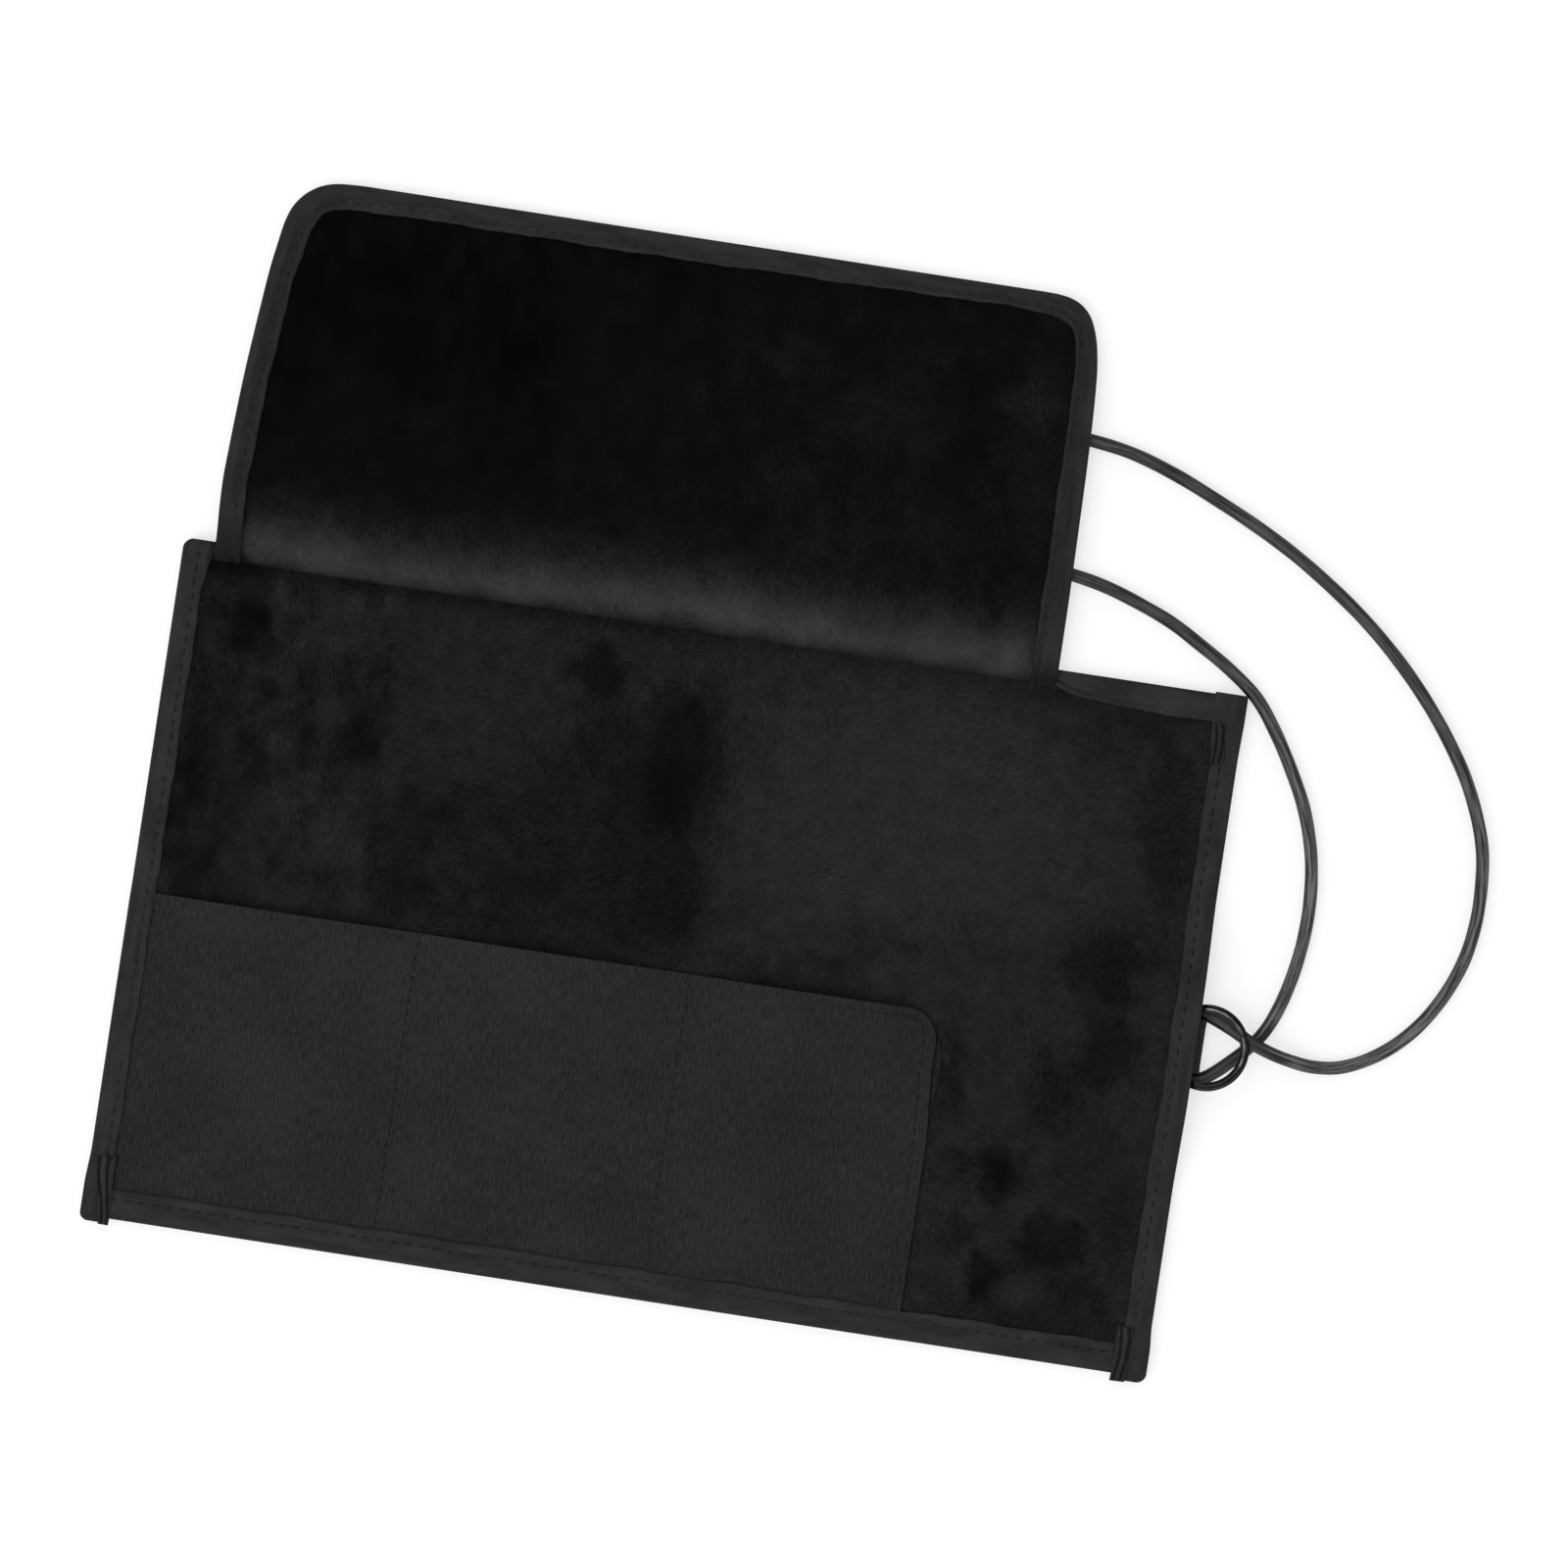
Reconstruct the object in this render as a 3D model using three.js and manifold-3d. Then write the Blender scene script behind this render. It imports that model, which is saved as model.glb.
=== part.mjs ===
// Watch roll laid open, inside up, in millimetres with +Z up.
// X runs along the panel towards the closing cord and Y runs up towards the flap.
// The panel is one padded cloth with fold lines, so its layers are divided at those lines.
import * as THREE from 'three';
import { mergeVertices } from 'three/addons/utils/BufferGeometryUtils.js';
import Module from 'manifold-3d';

const wasm = await Module();
wasm.setup();

// Panel
const PANEL_LENGTH = 312;
const PANEL_HEIGHT = 200.6;
const PANEL_RIGHT = PANEL_LENGTH / 2;
const PANEL_TOP = PANEL_HEIGHT / 2;

// Cloth thicknesses and the clearances between layers and between neighbours
const TAPE = 0.5;
const CANVAS = 0.6;
const PADDING = 0.8;
const VELVET = 0.7;
const LAYER_GAP = 0.2;
const SEAM_GAP = 0.3;

// Visible widths of the folded tape round the edges
const LEFT_TAPE_WIDTH = 7.1;
const RIGHT_TAPE_WIDTH = 7.8;
const BOTTOM_TAPE_WIDTH = 8.7;
const TOP_TAPE_WIDTH = 8.3;
const FLAP_TAPE_WIDTH = 7.3;
const TAPE_FOLD_RADIUS = 1.2;

// Pockets: their seams are also the lines on which the panel folds
const DIVIDER_1 = -71.5;
const DIVIDER_2 = 8;
const POCKET_RIGHT = 83;
const POCKET_MOUTH = -3.2;
const POCKET_CLOTH = 0.6;
const POCKET_CORNER_RADIUS = 9.5;
const POCKET_EASE = 4.5;
const POCKET_SEAM = 3;
const POCKET_SWELL = 16;
const POCKET_SWELL_DEPTH = 46;

// Flap, sewn on along its crease and folded open
const FLAP_LEFT = -147.5;
const FLAP_RIGHT = 100.5;
const FLAP_CREASE_INSET = 4.8;
const FLAP_CREASE = PANEL_TOP - FLAP_CREASE_INSET;
const FLAP_LENGTH = 112.8;
const FLAP_LEFT_TAPER = 6.2;
const FLAP_RIGHT_TAPER = 2.2;
const FLAP_CORNER_RADIUS = 14;
const FLAP_CLOSED_ANGLE = THREE.MathUtils.degToRad(179);

// The blank end of the panel folds just past the flap's right edge
const TAIL_FOLD_MARGIN = 1.5;
const FOLD_HALF_ANGLE = THREE.MathUtils.degToRad(45);

// Closing cord, split ring and the tape loop that holds both under the right edge
const CORD_DIAMETER = 4;
const KNOT_Y = -1.8;
const BIGHT_RADIUS = 10;
const BIGHT_CENTRE_INSET = 4;
const BIGHT_END_INSET = 2;
const BIGHT_CLIMB = 0.6;
const LOOP_TAPE = 0.6;
const LOOP_HALF_WIDTH = 6.4;
const LOOP_SEWN_INSET = 18.5;
const LOOP_OVERHANG = 2.5;
const LOOP_HEADROOM = 5.1;
const LOOP_CORNER_RADIUS = 2;
const LOOP_SEWN_LENGTH = 7;
const RING_OUTER_DIAMETER = 25.2;
const RING_WIRE_WIDTH = 2.1;
const RING_TURN_THICKNESS = 0.7;
const RING_CENTRE_OUT = 3.1;
const RING_CENTRE_HEIGHT = 6.6;
const RING_TILT = THREE.MathUtils.degToRad(13.5);

// The panel is lifted where the loop, ring and cord lie under its edge
const LIFT_START_INSET = 44;
const LIFT_FULL_INSET = 14;
const LIFT_FLAT_HALF = 15;
const LIFT_FADE_HALF = 46;

// Heights, from the floor up
const CANVAS_Z = TAPE + LAYER_GAP;
const PADDING_Z = CANVAS_Z + CANVAS + LAYER_GAP;
const VELVET_Z = PADDING_Z + PADDING + LAYER_GAP;
const VELVET_TOP = VELVET_Z + VELVET;
const PANEL_THICKNESS = VELVET_TOP + LAYER_GAP + TAPE;
const POCKET_Z = VELVET_TOP + LAYER_GAP;
const FLAP_Z = Math.max(PANEL_THICKNESS, CORD_DIAMETER) + LAYER_GAP;
const FLAP_CANVAS_Z = FLAP_Z + TAPE + LAYER_GAP;
const FLAP_VELVET_Z = FLAP_CANVAS_Z + CANVAS + LAYER_GAP;
const FLAP_THICKNESS = FLAP_VELVET_Z + VELVET + LAYER_GAP + TAPE - FLAP_Z;
const FOLD_Z = FLAP_Z + FLAP_THICKNESS;
const LOOP_HEIGHT = LOOP_HEADROOM + 2 * LOOP_TAPE;
const LIFT = LOOP_HEIGHT + 2 * SEAM_GAP;

// Plan positions worked out from the sizes above
const EDGE_INSET = TAPE + LAYER_GAP;
const TAIL_FOLD = FLAP_RIGHT + TAIL_FOLD_MARGIN;
const FOLDS = [DIVIDER_1, DIVIDER_2, TAIL_FOLD];
const RING_CENTRE_X = PANEL_RIGHT + RING_CENTRE_OUT;
const RING_RADIUS = RING_OUTER_DIAMETER / 2;
const FLAP_TIP = FLAP_CREASE + FLAP_LENGTH;
const RING_REACH = RING_CENTRE_X
  + RING_RADIUS * Math.cos(RING_TILT) + RING_TURN_THICKNESS * Math.sin(RING_TILT) / 2;
const CENTRE_X = (RING_REACH - PANEL_RIGHT) / 2;
const CENTRE_Y = (FLAP_TIP - PANEL_TOP) / 2;

// Cord route, chosen along the photographed curves; each tail is one run of plain round cord
const OUTER_TAIL = [
  [154.4, 8.2, 2], [156.6, 8.1, 2.1], [160.5, 6.8, 2.9], [166, 4.5, 4.8], [172, 1.5, 6.4],
  [178, -0.6, 6.1], [184, -2, 4.4], [191, -2.8, 2.6], [199.2, -1.7, 2],
  [209.5, 3.6, 2], [218.3, 11.8, 2], [225, 22, 2], [229.7, 33.7, 2],
  [231.6, 45, 2], [231.6, 56.9, 2], [229.9, 68.6, 2], [223.9, 83.9, 2],
  [216.6, 95.8, 2], [207.4, 107.7, 2], [197.6, 118.1, 2], [187, 127.5, 2],
  [175.6, 135.9, 2], [163.4, 143.7, 2], [151.4, 150.1, 2], [139.6, 155.6, 2],
  [125.9, 161.4, 2], [112.4, 165.7, 2], [99.7, 167.7, 2], [86, 168.5, 2],
  [70, 168, 2], [50, 166, 2], [25, 163, 2], [0, 161, 2], [-25, 160.5, 2], [-48, 162, 2],
];
const INNER_TAIL = [
  [154.4, -11.8, 2], [156.6, -11.7, 2], [160, -10.8, 2], [163.8, -8, 2], [168.4, -3.6, 2],
  [172, 0.2, 2], [175, 4.2, 2], [177.6, 9.5, 2], [180.5, 18.9, 2],
  [182.5, 30.2, 2], [183.1, 41.3, 2], [182.3, 52.2, 2], [180.6, 60.9, 2],
  [177.1, 71.4, 2], [171.9, 81.6, 2], [165.9, 91.5, 2], [158.9, 100.7, 2],
  [150, 107.7, 2], [140.5, 113.5, 2], [131.4, 118.6, 2], [121.6, 122.6, 2],
  [111, 126.1, 2], [100.6, 128.2, 2], [85, 130, 2], [65, 131, 2], [40, 130.5, 2],
  [10, 128.5, 2], [-20, 127.5, 2], [-50, 128.5, 2], [-80, 130.5, 2], [-100, 131, 2],
];

// Materials
const cloth = (color, roughness) => new THREE.MeshStandardMaterial({ color, roughness });
const canvasMaterial = cloth('#2a2a29', 0.85);
const velvetMaterial = cloth('#161616', 0.95);
const tapeMaterial = cloth('#2d2d2b', 0.8);
const paddingMaterial = cloth('#4a4a48', 1);
const cordMaterial = cloth('#1c1b1a', 0.5);
const ringMaterial = new THREE.MeshStandardMaterial({
  color: '#151516', roughness: 0.25, metalness: 0.9,
});

const roll = new THREE.Group();

// Each piece is drawn about the panel's centre and placed about the object's own centre
function place(name, geometry, material) {
  const mesh = new THREE.Mesh(geometry, material.clone());
  mesh.name = name;
  mesh.position.set(-CENTRE_X, -CENTRE_Y, 0);
  roll.add(mesh);
  return mesh;
}

// Joining and cutting closed solids
function solid(geometry) {
  const bare = geometry.clone();
  bare.deleteAttribute('normal');
  bare.deleteAttribute('uv');
  const merged = mergeVertices(bare, 1e-4);
  return new wasm.Manifold(new wasm.Mesh({
    numProp: 3,
    vertProperties: new Float32Array(merged.attributes.position.array),
    triVerts: new Uint32Array(merged.index.array),
  }));
}

function geometryOf(body) {
  const mesh = body.getMesh();
  const geometry = new THREE.BufferGeometry();
  geometry.setAttribute('position', new THREE.BufferAttribute(mesh.vertProperties, 3));
  geometry.setIndex(new THREE.BufferAttribute(mesh.triVerts, 1));
  geometry.computeVertexNormals();
  return geometry;
}

// A flat slab between two corners
function slab(x0, x1, y0, y1, z0, z1, nx = 1, ny = 1) {
  const box = new THREE.BoxGeometry(x1 - x0, y1 - y0, z1 - z0, nx, ny, 1);
  return box.translate((x0 + x1) / 2, (y0 + y1) / 2, (z0 + z1) / 2);
}

// A flat outline raised to a thickness
function raised(shape, z0, z1) {
  const geometry = new THREE.ExtrudeGeometry(shape, {
    depth: z1 - z0, bevelEnabled: false, curveSegments: 6,
  });
  return geometry.translate(0, 0, z0);
}

const smooth = THREE.MathUtils.smoothstep;

// Lift of the panel over the loop: full along the right edge beside the loop, fading away from it
function lift(x, y) {
  const along = smooth(x, PANEL_RIGHT - LIFT_START_INSET, PANEL_RIGHT - LIFT_FULL_INSET);
  const across = 1 - smooth(Math.abs(y - KNOT_Y), LIFT_FLAT_HALF, LIFT_FADE_HALF);
  return LIFT * along * across;
}

// Rows and columns shared by every lifted layer, so that the layers stay parallel
const LIFT_ROWS = 26;
const LIFT_COLUMNS = 12;
const rowY = (row) => -PANEL_TOP + PANEL_HEIGHT * row / LIFT_ROWS;

function liftGeometry(geometry, y0, y1) {
  const position = geometry.attributes.position;
  for (let i = 0; i < position.count; i += 1) {
    const share = (position.getY(i) - y0) / (y1 - y0);
    const row = Math.round(share * LIFT_ROWS);
    const y = THREE.MathUtils.clamp(rowY(row), y0, y1);
    position.setY(i, y);
    position.setZ(i, position.getZ(i) + lift(position.getX(i), y));
  }
  geometry.computeVertexNormals();
  return geometry;
}

// The span of each panel section between fold lines
function sectionSpan(index) {
  const start = index === 0 ? -PANEL_RIGHT + EDGE_INSET : FOLDS[index - 1] + SEAM_GAP / 2;
  const end = index === FOLDS.length ? PANEL_RIGHT - EDGE_INSET : FOLDS[index] - SEAM_GAP / 2;
  return [start, end];
}

// Turns the diagonals of a slab's underside to match its top, so that bent layers nest
function matchDiagonals(geometry) {
  const under = geometry.groups[5];
  const corner = geometry.index;
  for (let i = under.start; i < under.start + under.count; i += 6) {
    const a = corner.getX(i);
    const b = corner.getX(i + 1);
    const d = corner.getX(i + 2);
    const c = corner.getX(i + 4);
    [a, b, c, a, c, d].forEach((vertex, k) => corner.setX(i + k, vertex));
  }
  return geometry;
}

// Canvas shell, padding and velvet lining
function panelLayer(index, z, thickness) {
  const [x0, x1] = sectionSpan(index);
  const y1 = PANEL_TOP - EDGE_INSET;
  if (index < FOLDS.length) return slab(x0, x1, -y1, y1, z, z + thickness);
  const layer = slab(x0, x1, -y1, y1, z, z + thickness, LIFT_COLUMNS, LIFT_ROWS);
  return liftGeometry(matchDiagonals(layer), -y1, y1);
}

for (let index = 0; index <= FOLDS.length; index += 1) {
  const label = index + 1;
  place(`canvas_${label}`, panelLayer(index, CANVAS_Z, CANVAS), canvasMaterial);
  place(`padding_${label}`, panelLayer(index, PADDING_Z, PADDING), paddingMaterial);
  place(`velvet_${label}`, panelLayer(index, VELVET_Z, VELVET), velvetMaterial);
}

// Section of tape folded round an edge: u runs inwards from the edge and v upwards
function tapeSection(width, height) {
  const r = TAPE_FOLD_RADIUS;
  const shape = new THREE.Shape();
  shape.moveTo(width, 0);
  shape.lineTo(width, TAPE);
  shape.lineTo(TAPE, TAPE);
  shape.lineTo(TAPE, height - TAPE);
  shape.lineTo(width, height - TAPE);
  shape.lineTo(width, height);
  shape.lineTo(r, height);
  shape.absarc(r, height - r, r, Math.PI / 2, Math.PI, false);
  shape.lineTo(0, r);
  shape.absarc(r, r, r, Math.PI, 1.5 * Math.PI, false);
  return shape;
}

// Tape along a straight edge. The section is drawn in u and v, then turned to stand on the edge
function edgeTape(width, length, steps) {
  return new THREE.ExtrudeGeometry(tapeSection(width, PANEL_THICKNESS), {
    depth: length, steps, bevelEnabled: false, curveSegments: 3,
  });
}

function acrossTape(x0, x1, edgeY, inwardY, width) {
  const toWorld = new THREE.Matrix4().makeBasis(
    new THREE.Vector3(0, inwardY, 0),
    new THREE.Vector3(0, 0, 1),
    new THREE.Vector3(inwardY, 0, 0),
  );
  const start = inwardY > 0 ? x0 : x1;
  return edgeTape(width, x1 - x0, 1).applyMatrix4(toWorld).translate(start, edgeY, 0);
}

function sideTape(edgeX, inwardX, width, steps) {
  const toWorld = new THREE.Matrix4().makeBasis(
    new THREE.Vector3(inwardX, 0, 0),
    new THREE.Vector3(0, 0, 1),
    new THREE.Vector3(0, -inwardX, 0),
  );
  const start = inwardX > 0 ? PANEL_TOP : -PANEL_TOP;
  return edgeTape(width, PANEL_HEIGHT, steps).applyMatrix4(toWorld).translate(edgeX, start, 0);
}

// The tape's ends are folded in, which closes the channel at both corners
function closedEnds(tape, x0, x1) {
  let body = solid(tape);
  for (const side of [-1, 1]) {
    const outer = side * PANEL_TOP;
    const inner = side * (PANEL_TOP - TAPE);
    const low = Math.min(outer, inner);
    const high = Math.max(outer, inner);
    const margin = TAPE_FOLD_RADIUS;
    const end = slab(x0 + margin, x1 - margin, low, high, TAPE / 2, PANEL_THICKNESS - TAPE / 2);
    body = body.add(solid(end));
  }
  return geometryOf(body);
}

for (let index = 0; index <= FOLDS.length; index += 1) {
  const [x0, x1] = sectionSpan(index);
  const leftEnd = -PANEL_RIGHT + LEFT_TAPE_WIDTH + SEAM_GAP;
  const rightEnd = PANEL_RIGHT - RIGHT_TAPE_WIDTH - SEAM_GAP;
  const start = Math.max(x0, leftEnd);
  const end = Math.min(x1, rightEnd);
  const top = acrossTape(start, end, PANEL_TOP, -1, TOP_TAPE_WIDTH);
  const bottom = acrossTape(start, end, -PANEL_TOP, 1, BOTTOM_TAPE_WIDTH);
  place(`top_binding_${index + 1}`, top, tapeMaterial);
  place(`bottom_binding_${index + 1}`, bottom, tapeMaterial);
}

const leftTape = sideTape(-PANEL_RIGHT, 1, LEFT_TAPE_WIDTH, 1);
const leftEnds = closedEnds(leftTape, -PANEL_RIGHT, -PANEL_RIGHT + LEFT_TAPE_WIDTH);
place('left_binding', leftEnds, tapeMaterial);

const rightTape = sideTape(PANEL_RIGHT, -1, RIGHT_TAPE_WIDTH, LIFT_ROWS);
liftGeometry(rightTape, -PANEL_TOP, PANEL_TOP);
const rightEnds = closedEnds(rightTape, PANEL_RIGHT - RIGHT_TAPE_WIDTH, PANEL_RIGHT);
place('right_binding', rightEnds, tapeMaterial);

// Pockets: sewn down at the sides and the bottom, and eased open at the mouth
function pocketEase(x, y, x0, x1, y0) {
  const fromLeft = smooth(x, x0 + POCKET_SEAM, x0 + POCKET_SEAM + POCKET_SWELL);
  const fromRight = 1 - smooth(x, x1 - POCKET_SEAM - POCKET_SWELL, x1 - POCKET_SEAM);
  const fromBottom = smooth(y, y0 + POCKET_SEAM, y0 + POCKET_SEAM + POCKET_SWELL_DEPTH);
  return POCKET_EASE * fromLeft * fromRight * fromBottom;
}

function pocket(x0, x1) {
  const y0 = -PANEL_TOP + BOTTOM_TAPE_WIDTH + SEAM_GAP;
  const sheet = slab(x0, x1, y0, POCKET_MOUTH, POCKET_Z, POCKET_Z + POCKET_CLOTH, 16, 10);
  const position = sheet.attributes.position;
  for (let i = 0; i < position.count; i += 1) {
    const ease = pocketEase(position.getX(i), position.getY(i), x0, x1, y0);
    position.setZ(i, position.getZ(i) + ease);
  }
  sheet.computeVertexNormals();
  return sheet;
}

// The last pocket's upper right corner is rounded
function roundedPocket(x0, x1) {
  const r = POCKET_CORNER_RADIUS;
  const outline = new THREE.Shape();
  outline.moveTo(x0 - 1, -PANEL_TOP);
  outline.lineTo(x1, -PANEL_TOP);
  outline.lineTo(x1, POCKET_MOUTH - r);
  outline.absarc(x1 - r, POCKET_MOUTH - r, r, 0, Math.PI / 2, false);
  outline.lineTo(x0 - 1, POCKET_MOUTH);
  const cutter = raised(outline, 0, POCKET_Z + POCKET_EASE + 2 * POCKET_CLOTH);
  return geometryOf(solid(pocket(x0, x1)).intersect(solid(cutter)));
}

const pocketLeft = -PANEL_RIGHT + LEFT_TAPE_WIDTH + SEAM_GAP;
place('pocket_1', pocket(pocketLeft, DIVIDER_1 - SEAM_GAP / 2), canvasMaterial);
const pocket2 = pocket(DIVIDER_1 + SEAM_GAP / 2, DIVIDER_2 - SEAM_GAP / 2);
place('pocket_2', pocket2, canvasMaterial);
place('pocket_3', roundedPocket(DIVIDER_2 + SEAM_GAP / 2, POCKET_RIGHT), canvasMaterial);

// Flap outline: straight tapering sides and two round corners, drawn in from the edge by inset
function flapOutline(inset, baseY) {
  const leftLean = Math.atan(FLAP_LEFT_TAPER / FLAP_LENGTH);
  const rightLean = Math.atan(FLAP_RIGHT_TAPER / FLAP_LENGTH);
  const leftX = (y, d) => FLAP_LEFT + (y - FLAP_CREASE) * Math.tan(leftLean) + d / Math.cos(leftLean);
  const rightX = (y, d) => FLAP_RIGHT - (y - FLAP_CREASE) * Math.tan(rightLean) - d / Math.cos(rightLean);
  const r = FLAP_CORNER_RADIUS - inset;
  const arcY = FLAP_TIP - FLAP_CORNER_RADIUS;
  const shape = new THREE.Shape();
  shape.moveTo(leftX(baseY, inset), baseY);
  shape.lineTo(rightX(baseY, inset), baseY);
  shape.absarc(rightX(arcY, FLAP_CORNER_RADIUS), arcY, r, rightLean, Math.PI / 2, false);
  shape.absarc(leftX(arcY, FLAP_CORNER_RADIUS), arcY, r, Math.PI / 2, Math.PI - leftLean, false);
  return shape;
}

// Room that the closed flap needs where the panel folds, carried back to the open flap
function foldRelief(foldX) {
  const reach = 4 * FLAP_THICKNESS;
  const spread = reach * Math.tan(FOLD_HALF_ANGLE);
  const wedge = new THREE.Shape();
  wedge.moveTo(-SEAM_GAP / 2, -2 * reach);
  wedge.lineTo(SEAM_GAP / 2, -2 * reach);
  wedge.lineTo(SEAM_GAP / 2, 0);
  wedge.lineTo(SEAM_GAP / 2 + spread, reach);
  wedge.lineTo(-SEAM_GAP / 2 - spread, reach);
  wedge.lineTo(-SEAM_GAP / 2, 0);
  const length = 1.2 * FLAP_LENGTH;
  const prism = new THREE.ExtrudeGeometry(wedge, { depth: length, bevelEnabled: false });
  prism.rotateX(Math.PI / 2).translate(0, SEAM_GAP, 0);
  prism.rotateX(-FLAP_CLOSED_ANGLE);
  return prism.translate(foldX, FLAP_CREASE, FOLD_Z);
}

const flapBase = FLAP_CREASE + SEAM_GAP;
const flapReliefs = [solid(foldRelief(DIVIDER_1)), solid(foldRelief(DIVIDER_2))];
const flapSpans = [
  [FLAP_LEFT - 1, DIVIDER_1],
  [DIVIDER_1, DIVIDER_2],
  [DIVIDER_2, FLAP_RIGHT + 1],
];

// Divides one flap layer at the fold lines
function placeFlapLayer(name, body, material) {
  const relieved = flapReliefs.reduce((rest, relief) => rest.subtract(relief), body);
  flapSpans.forEach(([x0, x1], index) => {
    const span = slab(x0, x1, FLAP_CREASE, FLAP_TIP + 1, 0, FOLD_Z + 1);
    place(`${name}_${index + 1}`, geometryOf(relieved.intersect(solid(span))), material);
  });
}

const flapSheet = (z, thickness) => solid(raised(flapOutline(EDGE_INSET, flapBase), z, z + thickness));
placeFlapLayer('flap_canvas', flapSheet(FLAP_CANVAS_Z, CANVAS), canvasMaterial);
placeFlapLayer('flap_velvet', flapSheet(FLAP_VELVET_Z, VELVET), velvetMaterial);

// Tape folded round the flap's three free edges: an outer block less its slot and its window
function flapTape() {
  const top = FLAP_Z + FLAP_THICKNESS;
  const belowBase = FLAP_CREASE - 1;
  const block = solid(raised(flapOutline(0, flapBase), FLAP_Z, top));
  const slot = solid(raised(flapOutline(TAPE, belowBase), FLAP_Z + TAPE, top - TAPE));
  const window = solid(raised(flapOutline(FLAP_TAPE_WIDTH, belowBase), FLAP_Z - 1, top + 1));
  return block.subtract(slot).subtract(window);
}
placeFlapLayer('flap_binding', flapTape(), tapeMaterial);

// Tape loop under the right edge, sewn to the canvas at its inner end
function closureLoop() {
  const x0 = PANEL_RIGHT - LOOP_SEWN_INSET;
  const x1 = PANEL_RIGHT + LOOP_OVERHANG;
  const rounded = (path, inset) => {
    const r = LOOP_CORNER_RADIUS - inset;
    const left = x0 + inset + r;
    const right = x1 - inset - r;
    const low = inset + r;
    const high = LOOP_HEIGHT - inset - r;
    path.absarc(left, low, r, Math.PI, 1.5 * Math.PI, false);
    path.absarc(right, low, r, 1.5 * Math.PI, 2 * Math.PI, false);
    path.absarc(right, high, r, 0, Math.PI / 2, false);
    path.absarc(left, high, r, Math.PI / 2, Math.PI, false);
    return path;
  };
  const section = rounded(new THREE.Shape(), 0);
  section.holes.push(rounded(new THREE.Path(), LOOP_TAPE));
  const band = new THREE.ExtrudeGeometry(section, {
    depth: 2 * LOOP_HALF_WIDTH, bevelEnabled: false, curveSegments: 4,
  });
  band.rotateX(Math.PI / 2).translate(0, KNOT_Y + LOOP_HALF_WIDTH, 0);
  const sewn = slab(
    x0 + LOOP_CORNER_RADIUS, x0 + LOOP_CORNER_RADIUS + LOOP_SEWN_LENGTH,
    KNOT_Y - LOOP_HALF_WIDTH, KNOT_Y + LOOP_HALF_WIDTH,
    LOOP_HEIGHT - LOOP_TAPE / 2, LIFT + CANVAS_Z - SEAM_GAP,
  );
  return geometryOf(solid(band).add(solid(sewn)));
}
place('closure_loop', closureLoop(), tapeMaterial);

// Split ring: two flat turns of wire closed on each other, turned about the ring's axis
function splitRing() {
  const inner = RING_RADIUS - RING_WIRE_WIDTH;
  const h = RING_TURN_THICKNESS;
  const edge = RING_TURN_THICKNESS / 4;
  const seam = RING_TURN_THICKNESS / 5;
  const profile = [
    [inner, -h + edge], [inner + edge, -h], [RING_RADIUS - edge, -h], [RING_RADIUS, -h + edge],
    [RING_RADIUS, -seam], [RING_RADIUS - seam, 0], [RING_RADIUS, seam],
    [RING_RADIUS, h - edge], [RING_RADIUS - edge, h], [inner + edge, h], [inner, h - edge],
    [inner, seam], [inner + seam, 0], [inner, -seam], [inner, -h + edge],
  ].map(([r, z]) => new THREE.Vector2(r, z));
  const ring = new THREE.LatheGeometry(profile, 40);
  ring.rotateX(Math.PI / 2).rotateY(-RING_TILT);
  return ring.translate(RING_CENTRE_X, KNOT_Y, RING_CENTRE_HEIGHT);
}
place('split_ring', splitRing(), ringMaterial);

// Round cord along a smooth curve through its points
function cordAlong(points, steps) {
  const section = new THREE.Shape();
  section.absarc(0, 0, CORD_DIAMETER / 2, 0, 2 * Math.PI, false);
  const path = new THREE.CatmullRomCurve3(points.map((p) => new THREE.Vector3(...p)), false, 'centripetal');
  return new THREE.ExtrudeGeometry(section, {
    extrudePath: path, steps, bevelEnabled: false, curveSegments: 4,
  });
}

// The cord's bight turns through the loop
function bightPoints() {
  const centreX = PANEL_RIGHT - BIGHT_CENTRE_INSET;
  const endX = PANEL_RIGHT - BIGHT_END_INSET;
  const floor = CORD_DIAMETER / 2;
  const points = [[endX, KNOT_Y + BIGHT_RADIUS, floor]];
  const turns = 8;
  for (let i = 0; i <= turns; i += 1) {
    const angle = Math.PI / 2 + Math.PI * i / turns;
    const inLoop = smooth(-Math.cos(angle), 0, BIGHT_CLIMB);
    points.push([
      centreX + BIGHT_RADIUS * Math.cos(angle),
      KNOT_Y + BIGHT_RADIUS * Math.sin(angle),
      floor + (LOOP_TAPE + LAYER_GAP) * inLoop,
    ]);
  }
  points.push([endX, KNOT_Y - BIGHT_RADIUS, floor]);
  return points;
}
place('cord_bight', cordAlong(bightPoints(), 14), cordMaterial);
place('cord_outer_tail', cordAlong(OUTER_TAIL, 44), cordMaterial);
place('cord_inner_tail', cordAlong(INNER_TAIL, 38), cordMaterial);

export default roll;
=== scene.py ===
# %% [markdown]
# # A watch roll, laid open
# A black watch roll lies open with its inside up: a padded panel lined with velvet, three canvas
# pockets, a flap, folded tape round every edge, and a leather cord held by a split ring.
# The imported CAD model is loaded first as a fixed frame. Every piece below is drawn in the panel's
# own millimetres and turned into that frame, so nothing has to be fitted by hand.

# %% Load the frame
import math

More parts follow.
